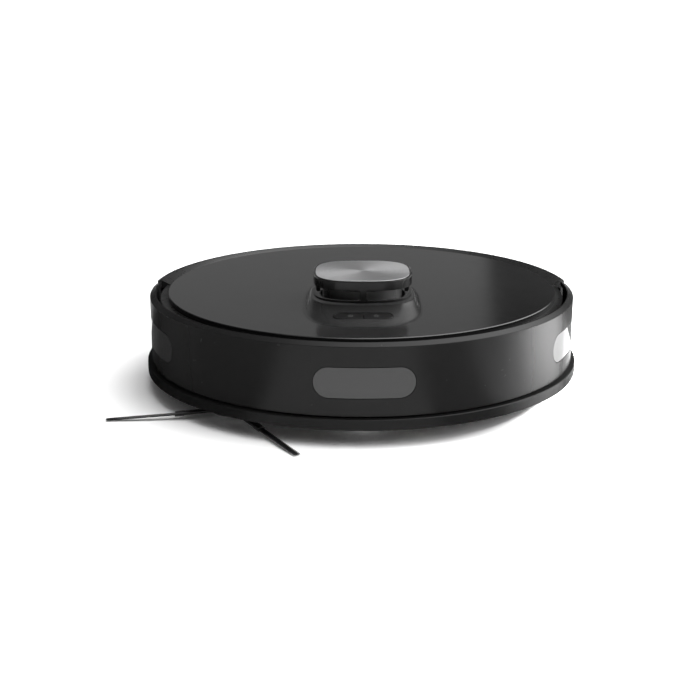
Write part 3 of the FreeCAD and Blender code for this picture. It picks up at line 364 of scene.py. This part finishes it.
def pill_prism(length, width, low, high, slot="inner_plastic", name="pill"):
    """A plate with two round ends along X, standing from low to high on Z about the origin."""
    bm = bmesh.new()
    segments = 72
    bmesh.ops.create_cone(bm, cap_ends=True, segments=segments, radius1=width / 2, radius2=width / 2,
                          depth=high - low)
    half_step = Matrix.Rotation(math.pi / segments, 3, "Z")
    bmesh.ops.rotate(bm, cent=(0, 0, 0), matrix=half_step, verts=bm.verts)
    bmesh.ops.translate(bm, vec=(0, 0, (low + high) / 2), verts=bm.verts)
    for vert in bm.verts:
        vert.co.x += math.copysign((length - width) / 2, vert.co.x)
    return settle(bm, name, slot)


def placed(thing, matrix):
    """Bake a placement into the mesh."""
    thing.data.transform(matrix)
    thing.data.update()
    return thing


def squircle(angle, half_x, half_y, power=3.0):
    """A point of an outline between an ellipse and a rectangle."""
    c, s = math.cos(angle), math.sin(angle)
    x = half_x * math.copysign(abs(c) ** (2 / power), c)
    y = half_y * math.copysign(abs(s) ** (2 / power), s)
    return Vector((x, y, 0))


def loop(bm, outline):
    """Unconnected vertices along a closed outline."""
    return [bm.verts.new(point) for point in outline]


def skin(bm, loops, cap=True):
    """Quads between neighbouring loops of the same count, and a face at each end."""
    for below, above in zip(loops, loops[1:]):
        for index in range(len(below)):
            bm.faces.new((below[index - 1], below[index], above[index], above[index - 1]))
    if cap:
        bm.faces.new(loops[0])
        bm.faces.new(loops[-1])


def stack(name, slot, rings, count=160, cap=True):
    """A skin over squircle rings about the turret axis: (half x, half y, z, power) each."""
    bm = bmesh.new()
    loops = []
    for half_x, half_y, z, power in rings:
        base = Vector((0, TURRET_Y, z))
        turns = [2 * math.pi * index / count for index in range(count)]
        loops.append(loop(bm, [base + squircle(turn, half_x, half_y, power) for turn in turns]))
    skin(bm, loops, cap)
    return settle(bm, name, slot)


def finish(thing, body, *nodes):
    """Fix a piece to its body and let it stand for CAD nodes."""
    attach(thing, body)
    if nodes:
        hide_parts(*nodes)


# ---------------------------------------------------------------- bumper and windows

def window_cutter(length, height, turn):
    """A radial prism with the outline of a sensor window."""
    middle_z = (WINDOW_LOW.z + WINDOW_HIGH.z) / 2
    prism = pill_prism(length, height, BODY_RADIUS - 20 * MM, BODY_RADIUS + 5 * MM, "window_smoked")
    upright = Matrix.Rotation(math.pi / 2, 4, "X")
    aim = Matrix.Rotation(math.radians(turn), 4, "Z")
    return placed(prism, Matrix.Translation((0, 0, middle_z)) @ aim @ upright)


def make_bumper():
    """Wrap-round shell with a chamfered top edge and pockets for its windows."""
    r, low, top = BODY_RADIUS, BUMPER_LOW.z, RIM_TOP
    outline = [(r - 2.8 * MM, low), (r - 0.4 * MM, low), (r, low + 0.4 * MM), (r, top - 2.35 * MM),
               (r - 4.1 * MM, top), (r - 5 * MM, top), (r - 5 * MM, top - 3.6 * MM),
               (r - 2.8 * MM, top - 5.8 * MM)]
    shell = lathe("bumper_wall", "bumper_gloss", outline, wrap=BUMPER_WRAP, steps=382)
    length = WINDOW_HIGH.x - WINDOW_LOW.x
    height = WINDOW_HIGH.z - WINDOW_LOW.z
    gap = 0.7 * MM
    depth = 1.3 * MM
    flush = r - 0.1 * MM
    below, above = 30 * MM, 64 * MM
    for side, turn in (("front", 0), ("left", -SIDE_TURN), ("right", SIDE_TURN)):
        pocket = lathe("pocket", "bumper_gloss", [(r - depth, below), (r + 2 * MM, below),
                                                 (r + 2 * MM, above), (r - depth, above)],
                       wrap=40, facing=turn - 90, steps=80)
        carve(pocket, window_cutter(length + gap, height + gap, turn), "INTERSECT")
        carve(shell, pocket)
        pane = lathe("sensor_window_" + side, "window_smoked",
                     [(r - depth, below), (flush, below), (flush, above), (r - depth, above)],
                     wrap=40, facing=turn - 90, steps=80)
        carve(pane, window_cutter(length, height, turn), "INTERSECT")
        soften(pane, 0.12 * MM, 2)
        finish(pane, "bumper", "bumper_window_" + side)
    soften(shell, 0.3 * MM, 3, 25)
    finish(shell, "bumper", "bumper_shell")


# ---------------------------------------------------------------- deck, rear wall and panel

def make_upper():
    """Deck and inner wall joined to the rear wall with its inward-sloping rim."""
    core, inside = 163 * MM, 160.5 * MM
    deck_top = PANEL_LOW.z - 0.1 * MM
    deck_low = deck_top - 2.5 * MM
    low = BUMPER_LOW.z - 0.6 * MM
    r, top = BODY_RADIUS, RIM_TOP
    deck = lathe("upper_body", "rear_black", [
        (0, deck_low), (inside, deck_low), (inside, 44.2 * MM), (core, 44.2 * MM), (core, deck_top),
        (0, deck_top)])
    carve(deck, cylinder("turret_hole", "rear_black", TURRET_HOLE, (0, TURRET_Y, deck_low - 1 * MM),
                         (0, TURRET_Y, deck_top + 1 * MM)))
    rear = lathe("rear_wall", "rear_black", [
        (core + 0.1 * MM, low), (r, low), (r, top - 0.9 * MM), (r - 0.9 * MM, top), (r - 3.0 * MM, top),
        (core - 2.4 * MM, deck_top + 0.3 * MM), (core - 2.4 * MM, deck_low + 0.5 * MM),
        (r - 2.8 * MM, deck_low), (r - 2.8 * MM, low + 3 * MM), (core + 0.1 * MM, low + 3 * MM)],
        wrap=REAR_WRAP, facing=90, steps=330)
    carve(deck, rear, "UNION")
    bin_low, bin_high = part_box("dust_bin")
    side = bin_high.x + 0.5 * MM
    carve(deck, slab("mouth", (-side, 102 * MM, bin_low.z - 0.5 * MM), (side, 0.2, deck_low + 0.01 * MM)))
    for index in range(7):
        turn = math.radians(128 + 3.2 * index)
        slot = pill_prism(22 * MM, 3.2 * MM, -7 * MM, 7 * MM)
        place = Matrix.Translation((r * math.cos(turn), r * math.sin(turn), 42 * MM))
        out = Matrix.Rotation(turn, 4, "Z") @ Matrix.Rotation(math.pi / 2, 4, "Y")
        carve(deck, placed(slot, place @ out))
    soften(deck, 0.3 * MM, 3, 35)
    finish(deck, "chassis", "upper_housing")


def make_panel():
    """Flush glossy round panel with a tight rounded edge."""
    r, top, low = PANEL_HIGH.x, PANEL_HIGH.z, PANEL_LOW.z
    panel = lathe("glossy_panel", "panel_gloss", [
        (38 * MM, top - 2.2 * MM), (r - 2.5 * MM, top - 2.2 * MM), (r - 2.5 * MM, low), (r, low),
        (r, top - 0.5 * MM), (r - 0.5 * MM, top), (38 * MM, top)], steps=360)
    # The hole is off the panel's axis, so the middle is filled and then cut at the turret.
    panel_core = lathe("panel_core", "panel_gloss", [
        (0, top - 2.2 * MM), (38.5 * MM, top - 2.2 * MM), (38.5 * MM, top), (0, top)], steps=96)
    carve(panel, panel_core, "UNION")
    hole_low, hole_high = (0, TURRET_Y, low - 1 * MM), (0, TURRET_Y, top + 5 * MM)
    carve(panel, cylinder("panel_hole", "panel_gloss", TURRET_HOLE, hole_low, hole_high))
    soften(panel, 0.18 * MM, 2, 35)
    finish(panel, "chassis", "top_panel")


# ---------------------------------------------------------------- hump, buttons and turret

def slope_matrix():
    """Where the buttons sit: the middle of the hump's front slope, its normal along local Z."""
    foot, crest = HUMP_LOW.y, TURRET_Y - 39 * MM
    rise = HUMP_HIGH.z - HUMP_LOW.z
    tilt = math.atan2(rise, crest - foot)
    middle = Vector((0, foot + 0.53 * (crest - foot), HUMP_LOW.z + 0.53 * rise))
    return Matrix.Translation(middle) @ Matrix.Rotation(tilt, 4, "X")


def make_hump():
    """Smooth mound: a thin step at its foot, sloped faces, a rounded crest and the button pocket."""
    foot_x, foot_y = HUMP_HIGH.x, (HUMP_HIGH.y - HUMP_LOW.y) / 2
    low, top = HUMP_LOW.z, HUMP_HIGH.z
    crest_x, crest_y = 40.2 * MM, 39.2 * MM
    rings = [(33.5 * MM, 33.5 * MM, low, 2.0), (foot_x, foot_y, low, CORNER),
             (foot_x - 0.05 * MM, foot_y - 0.05 * MM, low + 0.2 * MM, CORNER),
             (foot_x - 1.2 * MM, foot_y - 0.9 * MM, low + 0.3 * MM, CORNER),
             (foot_x - 1.9 * MM, foot_y - 1.7 * MM, low + 0.42 * MM, CORNER)]
    side_x, side_y, side_z = foot_x - 2.3 * MM, foot_y - 3.0 * MM, low + 0.62 * MM
    for part in (0, 0.12, 0.3, 0.5, 0.7, 0.88):
        x = side_x + (crest_x + 0.4 * MM - side_x) * part
        y = side_y + (crest_y + 1.4 * MM - side_y) * part
        rings.append((x, y, side_z + (top - 0.6 * MM - side_z) * part, CORNER))
    rings += [(crest_x + 0.25 * MM, crest_y + 0.8 * MM, top - 0.35 * MM, CORNER),
              (crest_x - 0.25 * MM, crest_y - 0.3 * MM, top - 0.06 * MM, CORNER),
              (crest_x - 0.9 * MM, crest_y - 1.2 * MM, top, CORNER), (33.5 * MM, 33.5 * MM, top, 2.0),
              (33.5 * MM, 33.5 * MM, low, 2.0)]
    hump = stack("turret_mound", "hump_black", rings, cap=False)
    length = BEZEL_HIGH.x - BEZEL_LOW.x
    pocket = pill_prism(length + 0.2 * MM, 12.2 * MM, -2.3 * MM, 3 * MM)
    carve(hump, placed(pocket, slope_matrix()))
    soften(hump, 0.15 * MM, 2, 40)
    hump.visible_glossy = False  # keeps the turret's dark mirror image off the panel
    finish(hump, "chassis", "turret_hump")


def make_buttons():
    """Bezel, two half-pill buttons and their raised signs."""
    length = BEZEL_HIGH.x - BEZEL_LOW.x
    width = 12 * MM
    slope = slope_matrix()
    bezel = pill_prism(length, width, -2.2 * MM, -0.1 * MM, "button_trim", "bezel_ring")
    carve(bezel, pill_prism(length - 1.8 * MM, width - 1.8 * MM, -3 * MM, 1 * MM))
    soften(placed(bezel, slope), 0.15 * MM, 2)
    bezel.visible_glossy = False
    finish(bezel, "chassis", "button_bezel")
    for node, side in (("power_button", -1), ("dock_button", 1)):
        face = pill_prism(length - 2.2 * MM, width - 2.2 * MM, -1.5 * MM, -0.2 * MM, "button_face",
                          node + "_cap")
        low = (min(side * 0.25 * MM, side * 30 * MM), -0.01, -3 * MM)
        high = (max(side * 0.25 * MM, side * 30 * MM), 0.01, 1 * MM)
        carve(face, slab("half", low, high), "INTERSECT")
        soften(placed(face, slope), 0.2 * MM, 2)
        face.visible_glossy = False
        finish(face, node, node)
    make_power_sign(slope @ Matrix.Translation((-9.5 * MM, 0, -0.2 * MM)))
    make_home_sign(slope @ Matrix.Translation((9.5 * MM, 0, -0.2 * MM)))


def make_power_sign(place):
    """An open ring with an upright bar."""
    bm = bmesh.new()
    thick = 0.05 * MM
    inner, outer = 1.25 * MM, 1.6 * MM
    start = math.radians(125)
    c, s = math.cos(start), math.sin(start)
    section = ((inner, 0), (outer, 0), (outer, thick), (inner, thick))
    corners = [bm.verts.new((r * c, r * s, z)) for r, z in section]
    bm.faces.new(corners)
    edges = [bm.edges.get((corners[i - 1], corners[i])) for i in range(4)]
    made = bmesh.ops.spin(bm, geom=corners + edges, cent=(0, 0, 0), axis=(0, 0, 1),
                          angle=math.radians(290), steps=28)
    last = [e for e in made["geom_last"] if isinstance(e, bmesh.types.BMEdge)]
    bmesh.ops.contextual_create(bm, geom=last)
    bar = bmesh.ops.create_cube(bm, size=1)
    bmesh.ops.scale(bm, vec=(0.35 * MM, 1.5 * MM, thick), verts=bar["verts"])
    bmesh.ops.translate(bm, vec=(0, 1.1 * MM, thick / 2), verts=bar["verts"])
    finish_sign(bm, "power_sign", place, "power_button")


def make_home_sign(place):
    """A small house: roof chevron over a box, as thin bars."""
    bm = bmesh.new()
    thick = 0.05 * MM
    wide = 0.35 * MM
    ends = [((-1.7, -0.1), (0, 1.5)), ((0, 1.5), (1.7, -0.1)), ((-1.1, 0.3), (-1.1, -1.4)),
            ((-1.1, -1.4), (1.1, -1.4)), ((1.1, -1.4), (1.1, 0.3))]
    for a, b in ends:
        a, b = Vector((*a, 0)) * MM, Vector((*b, 0)) * MM
        bar = bmesh.ops.create_cube(bm, size=1)
        bmesh.ops.scale(bm, vec=((b - a).length + wide * 0.6, wide, thick), verts=bar["verts"])
        turn = Matrix.Rotation(math.atan2(b.y - a.y, b.x - a.x), 3, "Z")
        bmesh.ops.rotate(bm, cent=(0, 0, 0), matrix=turn, verts=bar["verts"])
        bmesh.ops.translate(bm, vec=(a + b) / 2 + Vector((0, 0, thick / 2)), verts=bar["verts"])
    finish_sign(bm, "home_sign", place, "dock_button")


def finish_sign(bm, name, place, body):
    """Lay a printed sign on its button."""
    sign = settle(bm, name, "button_trim")
    sign.data.materials[0] = SIGN
    finish(placed(sign, place), body)


def make_guard():
    """Turret guard: cap, ring and four posts with rounded gaps between them."""
    half_x = (GUARD_HIGH.x - GUARD_LOW.x) / 2
    half_y = (GUARD_HIGH.y - GUARD_LOW.y) / 2
    low, top = GUARD_LOW.z, GUARD_HIGH.z
    gap_low, gap_high = 85.9 * MM, 93.6 * MM
    shell = stack("guard_shell", "guard_gloss", [
        (half_x - 0.5 * MM, half_y - 0.5 * MM, low, CORNER), (half_x, half_y, low + 0.5 * MM, CORNER),
        (half_x, half_y, top - 0.9 * MM, CORNER),
        (half_x - 0.25 * MM, half_y - 0.25 * MM, top - 0.35 * MM, CORNER),
        (half_x - 0.8 * MM, half_y - 0.8 * MM, top, CORNER)])
    wall = 2.6 * MM
    hollow = stack("hollow", "guard_gloss", [
        (half_x - wall, half_y - wall, low - 1 * MM, CORNER),
        (half_x - wall, half_y - wall, gap_high + 2.6 * MM, CORNER)])
    carve(shell, hollow)
    post, far = 2.5 * MM, 60 * MM
    for side_x in (-1, 1):
        for side_y in (-1, 1):
            bm = bmesh.new()
            bmesh.ops.create_cube(bm, size=1)
            bmesh.ops.scale(bm, vec=(far - post, far - post, gap_high - gap_low), verts=bm.verts)
            out = (far + post) / 2
            middle = (side_x * out, TURRET_Y + side_y * out, (gap_low + gap_high) / 2)
            bmesh.ops.translate(bm, vec=middle, verts=bm.verts)
            near = [e for e in bm.edges if edge_near_axis(e, post)]
            bmesh.ops.bevel(bm, geom=near, offset=1.3 * MM, segments=5, profile=0.5, affect="EDGES",
                            material=-1)
            carve(shell, settle(bm, "gap", "guard_gloss"))
    for side in (-1, 1):
        far_x, near_x = side * (half_x + 1 * MM), side * (half_x - wall - 0.1 * MM)
        side_gap = slab("side_gap", (min(far_x, near_x), TURRET_Y - 8 * MM, gap_low),
                        (max(far_x, near_x), TURRET_Y + 8 * MM, gap_high))
        carve(shell, side_gap)
        post_in, post_out = side * (half_x - wall - 2.7 * MM), side * (half_x - wall + 0.5 * MM)
        side_post = slab("side_post", (min(post_in, post_out), TURRET_Y - post, gap_low - 1 * MM),
                         (max(post_in, post_out), TURRET_Y + post, gap_high + 2.7 * MM))
        carve(shell, side_post, "UNION")
    recess = stack("recess", "guard_gloss", [
        (INLAY_HIGH.x + 0.1 * MM, (INLAY_HIGH.y - INLAY_LOW.y) / 2 + 0.1 * MM, top - 0.6 * MM, CORNER),
        (INLAY_HIGH.x + 0.1 * MM, (INLAY_HIGH.y - INLAY_LOW.y) / 2 + 0.1 * MM, top + 1 * MM, CORNER)])
    carve(shell, recess)
    soften(shell, 0.2 * MM, 2, 40)
    shell.visible_glossy = False
    finish(shell, "turret_guard", "turret_guard")


def edge_near_axis(edge, post):
    """True for the level edges of a gap cutter that run beside a post."""
    a, b = edge.verts[0].co, edge.verts[1].co
    if abs(a.z - b.z) > 1e-6:
        return False
    beside_y = abs(abs(a.x) - post) < 1e-6 and abs(abs(b.x) - post) < 1e-6
    beside_x = abs(abs(a.y - TURRET_Y) - post) < 1e-6 and abs(abs(b.y - TURRET_Y) - post) < 1e-6
    return beside_x or beside_y


def make_inlay():
    """Spun metal plate of concentric rings, with a map whose u runs round the plate."""
    half_x, half_y = INLAY_HIGH.x, (INLAY_HIGH.y - INLAY_LOW.y) / 2
    low, top = INLAY_LOW.z, INLAY_HIGH.z
    rings = [(half_x, half_y, low, CORNER), (half_x, half_y, top - 0.12 * MM, CORNER),
             (half_x - 0.12 * MM, half_y - 0.12 * MM, top, CORNER)]
    for part in (0.96, 0.9, 0.8, 0.66, 0.5, 0.34, 0.2, 0.1, 0.04, 0.015):
        power = 2.0 + part ** 3
        even = (half_x + half_y) / 2
        blend = part ** 2
        x = (half_x - 0.12 * MM) * blend + even * (1 - blend)
        y = (half_y - 0.12 * MM) * blend + even * (1 - blend)
        rings.append((x * part, y * part, top, power))
    plate = stack("spun_plate", "spun_metal", rings)
    layer = plate.data.uv_layers.new(name="turning")
    for face in plate.data.polygons:
        base = None
        for corner in face.loop_indices:
            spot = plate.data.vertices[plate.data.loops[corner].vertex_index].co
            turn = math.atan2(spot.y - TURRET_Y, spot.x) / (2 * math.pi)
            base = turn if base is None else base
            turn += round(base - turn)
            radius = math.hypot(spot.x, spot.y - TURRET_Y)
            layer.data[corner].uv = (turn * 4, radius * 10)
    finish(plate, "turret_guard", "turret_cap_inlay")


def make_drum():
    """Laser drum with a rounded shoulder and two lens windows."""
    r, low, top = DRUM_HIGH.x, DRUM_LOW.z, DRUM_HIGH.z
    drum = lathe("laser_drum", "drum_gloss", [
        (14.05 * MM, low), (24 * MM, low), (24 * MM, low + 1 * MM), (22 * MM, low + 1.6 * MM),
        (22 * MM, low + 4.4 * MM), (24 * MM, low + 5 * MM), (24 * MM, low + 6 * MM), (30 * MM, low + 11 * MM),
        (r, low + 12.5 * MM), (r, top - 1 * MM), (r - 1 * MM, top), (0, top), (0, low + 13 * MM),
        (14.05 * MM, low + 13 * MM)], middle=TURRET, steps=160)
    for turn in (146, 172):
        a = math.radians(turn - 90)
        eye = cylinder("eye", "drum_gloss", 3.2 * MM, (0, 0, -1.2 * MM), (0, 0, 3 * MM))
        place = Matrix.Translation((r * math.cos(a), TURRET_Y + r * math.sin(a), 87.5 * MM))
        out = Matrix.Rotation(a, 4, "Z") @ Matrix.Rotation(math.pi / 2, 4, "Y")
        carve(drum, placed(eye, place @ out))
        glass = cylinder("laser_lens_%d" % turn, "sensor_lens", 3.0 * MM, (0, 0, -1.2 * MM),
                         (0, 0, -0.5 * MM))
        placed(glass, place @ out)
        soften(glass, 0.3 * MM, 3)
        finish(glass, "laser_rotor")
    soften(drum, 0.25 * MM, 3, 25)
    for hidden in (drum, frame["nodes"]["lidar_base"], frame["nodes"]["lidar_bearing"]):
        hidden.visible_glossy = False
    finish(drum, "laser_rotor", "lidar_drum")


# ---------------------------------------------------------------- side brush

def make_side_brush():
    """Hub, three tapered arms with collars, and tufts of single nylon fibres."""
    screw_low, screw_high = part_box("side_brush_screw")
    centre = (screw_low + screw_high) / 2
    hub = lathe("side_hub", "side_brush_plastic", [
        (2.55 * MM, 5 * MM), (11.5 * MM, 5 * MM), (13.2 * MM, 5.5 * MM), (14.3 * MM, 6.6 * MM),
        (14.5 * MM, 7.6 * MM), (14.3 * MM, 8.6 * MM), (13.5 * MM, 9.6 * MM), (2.55 * MM, 9.6 * MM)],
        middle=(centre.x, centre.y), steps=96)
    place = Matrix.Translation((centre.x, centre.y, 0))
    fibres = bmesh.new()
    for index in range(3):
        turn = Matrix.Rotation(math.radians(183 + 120 * index), 4, "Z")
        carve(hub, placed(make_arm(), place @ turn), "UNION")
        grow_tuft(fibres, place @ turn)
    soften(hub, 0.25 * MM, 2, 40)
    finish(hub, "side_brush", "side_brush_hub")
    tuft = settle(fibres, "bristle_tufts", "bristle_nylon", 80)
    finish(tuft, "side_brush", "side_brush_bristles")


def make_arm():
    """A flat arm along +X that narrows to a slightly thicker collar."""
    bm = bmesh.new()
    stations = [(10, 8.4, 3.0, 7.5), (18, 6.4, 3.0, 6.8), (36, 5.2, 2.8, 5.3), (36.2, 6.2, 3.3, 5.25),
                (43, 5.9, 3.2, 4.6)]
    loops = []
    for x, wide, thick, z in stations:
        spots = [squircle(math.pi * index / 8, wide / 2, thick / 2, 3.4) for index in range(16)]
        loops.append(loop(bm, [Vector((x, spot.x, z + spot.y)) * MM for spot in spots]))
    skin(bm, loops)
    return settle(bm, "side_arm", "side_brush_plastic")


def grow_tuft(bm, place):
    """One flat tuft of fibres along +X, dropping to the floor and splaying a little."""
    start, end = 42.2, 95.0
    for row in range(4):
        for column in range(15):
            across = (column - 7) * 0.29 + random.uniform(-0.08, 0.08)
            lift = (row - 1.5) * 0.2 + random.uniform(-0.04, 0.04)
            reach = end - random.uniform(0, 1.4) - 0.05 * abs(column - 7)
            drift = random.uniform(-0.35, 0.35)
            points = []
            for part in (0, 0.35, 0.7, 1):
                x = start + (reach - start) * part
                y = across * (1 + 0.08 * part) + drift * part ** 2
                z = 4.5 - 3.35 * part + lift
                points.append(Vector((x, y, z)) * MM)
            fibre(bm, [place @ p for p in points], 0.13 * MM)


def fibre(bm, points, radius):
    """A three-sided hair through some points."""
    along = (points[-1] - points[0]).normalized()
    turn = along.to_track_quat("Z", "Y").to_matrix()
    loops = []
    for point, radius_here in zip(points, (radius, radius, radius * 0.9, radius * 0.55)):
        corners = [Vector((math.cos(a), math.sin(a), 0)) * radius_here for a in (0, 2.1, 4.2)]
        loops.append(loop(bm, [point + turn @ corner for corner in corners]))
    skin(bm, loops)


# ---------------------------------------------------------------- wheels

def make_tyres():
    """Tyres with rounded shoulders and chevron lugs."""
    for side in ("left", "right"):
        low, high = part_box("tyre_" + side)
        centre = (low + high) / 2
        r = (high.z - low.z) / 2
        half = (high.x - low.x) / 2
        root = r - 1.5 * MM
        tyre = lathe("tyre_body_" + side, "tyre_rubber", [
            (r - 6 * MM, -half), (root - 1.2 * MM, -half), (root, -half + 1.4 * MM), (root, half - 1.4 * MM),
            (root - 1.2 * MM, half), (r - 6 * MM, half)], steps=120)
        bm = bmesh.new()
        bm.from_mesh(tyre.data)
        count = 30
        for index in range(count):
            for lean in (-1, 1):
                lug = bmesh.ops.create_cube(bm, size=1)
                bmesh.ops.scale(bm, vec=(3.0 * MM, 3.2 * MM, half * 0.98), verts=lug["verts"])
                skew = Matrix.Rotation(math.radians(24 * lean), 3, "X")
                bmesh.ops.rotate(bm, cent=(0, 0, 0), matrix=skew, verts=lug["verts"])
                shift = (r - 1.70 * MM, 0, lean * half * 0.5)
                bmesh.ops.translate(bm, vec=shift, verts=lug["verts"])
                turn = Matrix.Rotation(2 * math.pi * (index + 0.25 * (lean + 1)) / count, 3, "Z")
                bmesh.ops.rotate(bm, cent=(0, 0, 0), matrix=turn, verts=lug["verts"])
        bm.to_mesh(tyre.data)
        bm.free()
        lay = Matrix.Translation(centre) @ Matrix.Rotation(math.pi / 2, 4, "Y")
        placed(tyre, lay)
        shade(tyre)
        soften(tyre, 0.3 * MM, 2)
        finish(tyre, "drive_wheel_" + side, "tyre_" + side)


# ---------------------------------------------------------------- studio

def world_light():
    """Soft overhead sky: dark near the horizon, bright above and towards the right."""
    world = bpy.data.worlds.new("studio")
    world.use_nodes = True
    SCENE.world = world
    tree = world.node_tree
    back = tree.nodes["Background"]
    back.inputs["Color"].default_value = (1, 1, 1, 1)
    place = tree.nodes.new("ShaderNodeTexCoord")
    height = tree.nodes.new("ShaderNodeVectorMath")
    height.operation = "DOT_PRODUCT"
    height.inputs[1].default_value = (0.6, 0.05, 0.8)
    tree.links.new(place.outputs["Generated"], height.inputs[0])
    level = spread(tree, height.outputs["Value"], 0.02, 5.0, 0.5, 0.95)
    level.node.interpolation_type = "SMOOTHSTEP"
    tree.links.new(level, back.inputs["Strength"])


def towards(azimuth, elevation):
    """A unit vector to a place in the studio, in degrees. Azimuth 0 is the front, 90 is +X."""
    a, e = math.radians(azimuth), math.radians(elevation)
    return Vector((math.sin(a) * math.cos(e), -math.cos(a) * math.cos(e), math.sin(e)))


def hang(data, place, aim_at):
    """A light at a place, turned to a point."""
    light = bpy.data.objects.new(data.name, data)
    SCENE.collection.objects.link(light)
    light.location = place
    light.rotation_euler = (Vector(aim_at) - light.location).to_track_quat("-Z", "Y").to_euler()
    return light


def softbox(name, azimuth, distance, height, size, power):
    """A rectangular light aimed at the robot. Azimuth 0 is the front, 90 is +X."""
    data = bpy.data.lights.new(name, "AREA")
    data.shape = "RECTANGLE"
    data.size, data.size_y = size
    data.energy = power
    a = math.radians(azimuth)
    return hang(data, (distance * math.sin(a), -distance * math.cos(a), height), (0, 0, 50 * MM))


def floor_spot(name, place, aim_at, cone, power):
    """A soft-edged spot that lifts one patch of the floor."""
    data = bpy.data.lights.new(name, "SPOT")
    data.spot_size = math.radians(cone)
    data.spot_blend = 0.7
    data.shadow_soft_size = 0.08
    data.energy = power
    hang(data, place, aim_at)


def dark_card(name, start, end, outer):
    """Dark card on the floor round part of the robot: it only keeps white out of the gloss."""
    bm = bmesh.new()
    edge = [bm.verts.new(towards(start, 0) * r + Vector((0, 0, 2 * MM))) for r in (0.16, outer)]
    rim = bm.edges.new(edge)
    bmesh.ops.spin(bm, geom=edge + [rim], cent=(0, 0, 0), axis=(0, 0, 1),
                   angle=math.radians(end - start), steps=24)
    card = settle(bm, name, "dark_card")
    card.visible_camera = card.visible_diffuse = card.visible_shadow = False


def sunlight(azimuth, elevation, spread_angle, strength):
    """A very soft parallel light."""
    data = bpy.data.lights.new("front_fill", "SUN")
    data.angle = math.radians(spread_angle)
    data.energy = strength
    hang(data, towards(azimuth, elevation) * 3, (0, 0, 0))


def floor_paint():
    """Matt white, clear from below so that the underside can be looked at."""
    material, tree, shader, place = start_material("pale_floor")
    tone = spread(tree, noise(tree, place, 3, 2), 0, 1)
    tree.links.new(tint(tree, tone, (0.93, 0.93, 0.93), (0.95, 0.95, 0.95)), shader.inputs["Base Color"])
    shader.inputs["Roughness"].default_value = 0.9
    shader.inputs["IOR"].default_value = 1.2
    side = tree.nodes.new("ShaderNodeNewGeometry")
    clear = tree.nodes.new("ShaderNodeBsdfTransparent")
    either = tree.nodes.new("ShaderNodeMixShader")
    out = next(n for n in tree.nodes if n.type == "OUTPUT_MATERIAL")
    tree.links.new(side.outputs["Backfacing"], either.inputs[0])
    tree.links.new(shader.outputs[0], either.inputs[1])
    tree.links.new(clear.outputs[0], either.inputs[2])
    tree.links.new(either.outputs[0], out.inputs["Surface"])
    return material


def make_studio():
    """Pale floor, sky, fill, softboxes and cards."""
    FINISH["pale_floor"] = floor_paint()
    FINISH["dark_card"] = moulded("dark_card", 0.10, 0.9, ior=1.1)
    bm = bmesh.new()
    bmesh.ops.create_circle(bm, cap_ends=True, segments=96, radius=60)
    floor = settle(bm, "floor", "pale_floor")
    floor.visible_shadow = False
    world_light()
    sunlight(-30, 55, 50, 0.3)
    softbox("rear_panel", 192, 2.66, 0.75, (2.0, 1.0), 1.45)
    floor_spot("right_spot", (0.85, -0.10, 0.45), (0.35, 0.02, 0), 31, 270)
    softbox("under_fill", 0, 0, -0.5, (0.25, 0.25), 14).visible_glossy = False
    dark_card("left_card", -122, -34, 0.75)
    dark_card("front_card", 22, 45, 0.60)
    dark_card("rear_card", 112, 170, 0.60)


def make_camera():
    """Long lens, about fifteen degrees above the horizon, almost straight at the front."""
    data = bpy.data.cameras.new("camera")
    data.sensor_width = 36
    data.lens = 67.181
    data.shift_x = -0.01643
    data.shift_y = -0.04229
    camera = bpy.data.objects.new("camera", data)
    SCENE.collection.objects.link(camera)
    back = towards(-0.75, 15.06)
    camera.location = Vector((0, 0, 46.85 * MM)) + back * 1.078
    roll = Matrix.Rotation(math.radians(0.157), 3, "Z")
    turn = (-back).to_track_quat("-Z", "Y").to_matrix() @ roll
    camera.rotation_euler = turn.to_euler()
    SCENE.camera = camera


make_camera()
make_studio()
make_bumper()
make_upper()
make_panel()
make_hump()
make_buttons()
make_guard()
make_inlay()
make_drum()
make_side_brush()
make_tyres()

SCENE.view_settings.view_transform = "Standard"
